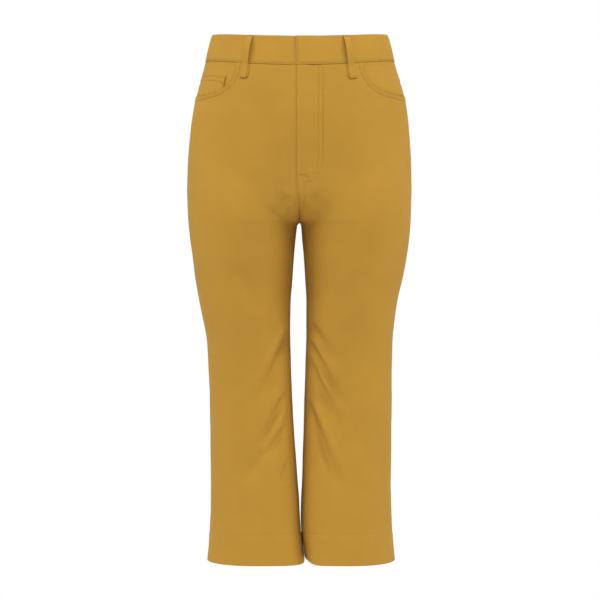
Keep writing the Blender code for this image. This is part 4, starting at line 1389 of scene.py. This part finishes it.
def settle(line, normals, tree):
    """Lay a line's points on the mesh under them."""
    laid = []
    for p, n in zip(line, normals):
        start = Vector((p + n * LAY_FROM) * METRES)
        hit = tree.ray_cast(start, Vector(-n), LAY_REACH * METRES)[0]
        laid.append(np.array(hit) / METRES if hit else p)
    return np.array(laid)


def cloth_tree(name):
    """A search tree over a finished piece's faces."""
    piece = bpy.data.objects[name]
    return BVHTree.FromPolygons(
        [v.co for v in piece.data.vertices], [tuple(p.vertices) for p in piece.data.polygons]
    )


def resampled(side, down, around, spacing):
    """A line's down and around at even distances on the cloth."""
    length = walked(surface(side, down, around), 0)
    fine = np.linspace(0, length[-1], max(3, int(length[-1] / spacing)))
    return np.interp(fine, length, down), np.interp(fine, length, around)


def sew(name, chains, looks):
    """Join stitch chains into one object of thread."""
    width = looks.thread_width / METRES
    points, faces, sunk, start = [], [], [], 0
    for line, normals, pitch in chains:
        stitches, pattern = stitch_chain(line, normals, pitch, width, pitch > LEAST_PITCH_WITH_HOLES)
        for stitch in stitches:
            points.append(stitch)
            # painted shade: none on the row stitches, part of it on the bar tacks, all of it on the needle
            # holes' dark pieces
            sunk += [0.0 if len(stitch) > 14 else TACK_PAINTED_SHADE] * 14 + [1.0] * (len(stitch) - 14)
            faces += [tuple(i + start for i in face) for face in pattern]
            start += len(stitch)
    piece = make_object(name, np.concatenate(points), faces, thread(looks))
    piece.data.attributes.new("sunk", "FLOAT", "POINT").data.foreach_set("value", sunk)
    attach(piece, "root")


def sewn_chains(node, looks):
    """The chains of stitches on one piece of cloth, its bar tacks last."""
    side = -1 if node.endswith("right") or node == "coin_pocket" else 1
    tree = cloth_tree(node + "_cloth")
    pitch = looks.stitch_pitch / METRES
    chains = []
    for down, around in sewn_rows(node):
        down, around = resampled(side, down, around, 1.2)
        normals = outward(side, down, around)
        chains.append((settle(surface(side, down, around), normals, tree), normals, pitch))
    for tacked, *tack in BAR_TACKS:
        if tacked == node:
            chains += bar_tack(side, *tack, tree)
    return chains


def bar_tack(side, x, z, height, near, tree):
    """A dense zigzag of thread over a short straight line."""
    count = max(4, int(np.hypot(x[1] - x[0], z[1] - z[0]) / 0.55))
    share = np.linspace(0, 1, count)
    swing = height / 2 * np.where(np.arange(count) % 2 == 0, 1.0, -1.0)
    run = np.array([x[1] - x[0], z[1] - z[0]])
    run = run / np.linalg.norm(run)
    down, around = place(side, mix(*x, share) - run[1] * swing, mix(*z, share) + run[0] * swing, near)
    normals = outward(side, down, around)
    line = settle(surface(side, down, around), normals, tree)
    chains = []
    for i in range(count - 1):
        chains.append((line[i : i + 2], normals[i : i + 2], height * 1.1))
    return chains


# ---- the studio, in metres ---------------------------------------------------------------------
CAMERA_X, MIDDLE_Z = 0.00075, -0.377
LENS_AND_SENSOR = 140, 36  # in millimetres
FLOOR_RADIUS = 1.5
LAMPS = (  # name, place, size, the setting with its power
    ("side_lamp_right", (-2.2, -0.7, 1.5), 1.2, "side_light"),
    ("side_lamp_left", (2.2, -0.7, 1.5), 1.2, "side_light"),
    ("front_lamp", (0.15, -2.6, 2.4), 1.0, "front_light"),
)


# ---- operators ---------------------------------------------------------------------------------
class TROUSERS_OT_front_panels(bpy.types.Operator):
    """Cut and crease the two front legs."""

    bl_idname = "trousers.front_panels"
    bl_label = "Front Panels"

    def execute(self, context):
        for side in (-1, 1):
            front_panel(side, context.scene.trouser_looks)
        return {"FINISHED"}


class TROUSERS_OT_back_panels(bpy.types.Operator):
    """Cut and crease the two back legs."""

    bl_idname = "trousers.back_panels"
    bl_label = "Back Panels"

    def execute(self, context):
        for side in (-1, 1):
            back_panel(side, context.scene.trouser_looks)
        return {"FINISHED"}


class TROUSERS_OT_yokes(bpy.types.Operator):
    """Cut the two shaped yokes at the back."""

    bl_idname = "trousers.yokes"
    bl_label = "Yokes"

    def execute(self, context):
        for side in (-1, 1):
            yoke(side, context.scene.trouser_looks)
        return {"FINISHED"}


class TROUSERS_OT_pocket_facings(bpy.types.Operator):
    """Cut the facings that show in the pocket mouths."""

    bl_idname = "trousers.pocket_facings"
    bl_label = "Pocket Facings"

    def execute(self, context):
        for side in (-1, 1):
            pocket_facing(side, context.scene.trouser_looks)
        return {"FINISHED"}


class TROUSERS_OT_coin_pocket(bpy.types.Operator):
    """Cut the coin pocket on the wearer's right facing."""

    bl_idname = "trousers.coin_pocket"
    bl_label = "Coin Pocket"

    def execute(self, context):
        coin_pocket(context.scene.trouser_looks)
        return {"FINISHED"}


class TROUSERS_OT_waistband(bpy.types.Operator):
    """Cut the two halves of the waistband."""

    bl_idname = "trousers.waistband"
    bl_label = "Waistband"

    def execute(self, context):
        for side in (-1, 1):
            waistband(side, context.scene.trouser_looks)
        return {"FINISHED"}


class TROUSERS_OT_belt_loops(bpy.types.Operator):
    """Make the five belt loops."""

    bl_idname = "trousers.belt_loops"
    bl_label = "Belt Loops"

    def execute(self, context):
        for name, side, top_around, bottom_around in LOOPS:
            belt_loop(name, side, top_around, bottom_around, context.scene.trouser_looks)
        return {"FINISHED"}


class TROUSERS_OT_topstitching(bpy.types.Operator):
    """Sew the rows of tonal thread on the panels, the band and the pockets."""

    bl_idname = "trousers.topstitching"
    bl_label = "Topstitching"

    def execute(self, context):
        looks = context.scene.trouser_looks
        for node in SEWN_PIECES:
            sew(node + "_stitching", sewn_chains(node, looks), looks)
        return {"FINISHED"}


class TROUSERS_OT_studio(bpy.types.Operator):
    """Set up the camera, the soft light and the pale floor."""

    bl_idname = "trousers.studio"
    bl_label = "Studio"

    def execute(self, context):
        studio = context.scene.trouser_studio
        bpy.ops.object.camera_add(
            location=(CAMERA_X, -studio.camera_distance, MIDDLE_Z), rotation=(math.pi / 2, 0, 0)
        )
        camera = context.object
        camera.name = "front_camera"
        camera.data.lens, camera.data.sensor_width = LENS_AND_SENSOR
        context.scene.camera = camera

        bpy.ops.mesh.primitive_circle_add(
            vertices=96,
            radius=FLOOR_RADIUS,
            fill_type="NGON",
            location=(0, 0, HEM_Z * METRES - studio.floor_drop),
        )
        floor = context.object
        floor.name = "floor"
        bpy.ops.object.transform_apply(location=True, rotation=True, scale=True)
        floor.data.materials.append(paper_floor())

        for name, spot, size, light in LAMPS:
            bpy.ops.object.light_add(type="AREA", location=spot)
            lamp = context.object
            lamp.name = name
            lamp.data.shape = "SQUARE"
            lamp.data.size = size
            lamp.data.energy = getattr(studio, light)
            aim = Vector((0, 0, MIDDLE_Z)) - Vector(spot)
            lamp.rotation_euler = aim.to_track_quat("-Z", "Y").to_euler()

        world = bpy.data.worlds.new("white_studio")
        world.use_nodes = True
        tree = world.node_tree
        room = tree.nodes["Background"]
        room.inputs["Color"].default_value = (1, 1, 1, 1)
        room.inputs["Strength"].default_value = studio.fill_light
        backdrop = add_node(tree, "ShaderNodeBackground", {"Color": (1, 1, 1, 1)}).outputs[0]
        seen = add_node(tree, "ShaderNodeLightPath").outputs["Is Camera Ray"]
        either = add_node(tree, "ShaderNodeMixShader", {0: seen, 1: room.outputs[0], 2: backdrop})
        tree.links.new(either.outputs[0], tree.nodes["World Output"].inputs["Surface"])
        context.scene.world = world
        context.scene.view_settings.view_transform = "Standard"
        return {"FINISHED"}


class TROUSERS_PT_sidebar(bpy.types.Panel):
    """The trousers' sizes, colours and steps, in the sidebar."""

    bl_idname = "TROUSERS_PT_sidebar"
    bl_label = "Cropped Trousers"
    bl_space_type = "VIEW_3D"
    bl_region_type = "UI"
    bl_category = "Trousers"

    def draw(self, context):
        layout = self.layout
        for group in (context.scene.trouser_looks, context.scene.trouser_studio):
            for name in group.__annotations__:
                layout.prop(group, name)
        for step in STEPS:
            layout.operator(step.bl_idname)


STEPS = (
    TROUSERS_OT_studio,
    TROUSERS_OT_front_panels,
    TROUSERS_OT_back_panels,
    TROUSERS_OT_yokes,
    TROUSERS_OT_pocket_facings,
    TROUSERS_OT_coin_pocket,
    TROUSERS_OT_waistband,
    TROUSERS_OT_belt_loops,
    TROUSERS_OT_topstitching,
)
CLASSES = (TrouserLooks, StudioLooks, *STEPS, TROUSERS_PT_sidebar)


def register():
    for made in CLASSES:
        bpy.utils.register_class(made)
    bpy.types.Scene.trouser_looks = bpy.props.PointerProperty(type=TrouserLooks)
    bpy.types.Scene.trouser_studio = bpy.props.PointerProperty(type=StudioLooks)


def unregister():
    del bpy.types.Scene.trouser_looks, bpy.types.Scene.trouser_studio
    for made in reversed(CLASSES):
        bpy.utils.unregister_class(made)


def main():
    """Run every step in order."""
    register()
    bpy.ops.object.select_all(action="DESELECT")
    bpy.ops.trousers.studio()
    bpy.ops.trousers.front_panels()
    bpy.ops.trousers.back_panels()
    bpy.ops.trousers.yokes()
    bpy.ops.trousers.pocket_facings()
    bpy.ops.trousers.coin_pocket()
    bpy.ops.trousers.waistband()
    bpy.ops.trousers.belt_loops()
    bpy.ops.trousers.topstitching()


if __name__ == "__main__":
    main()
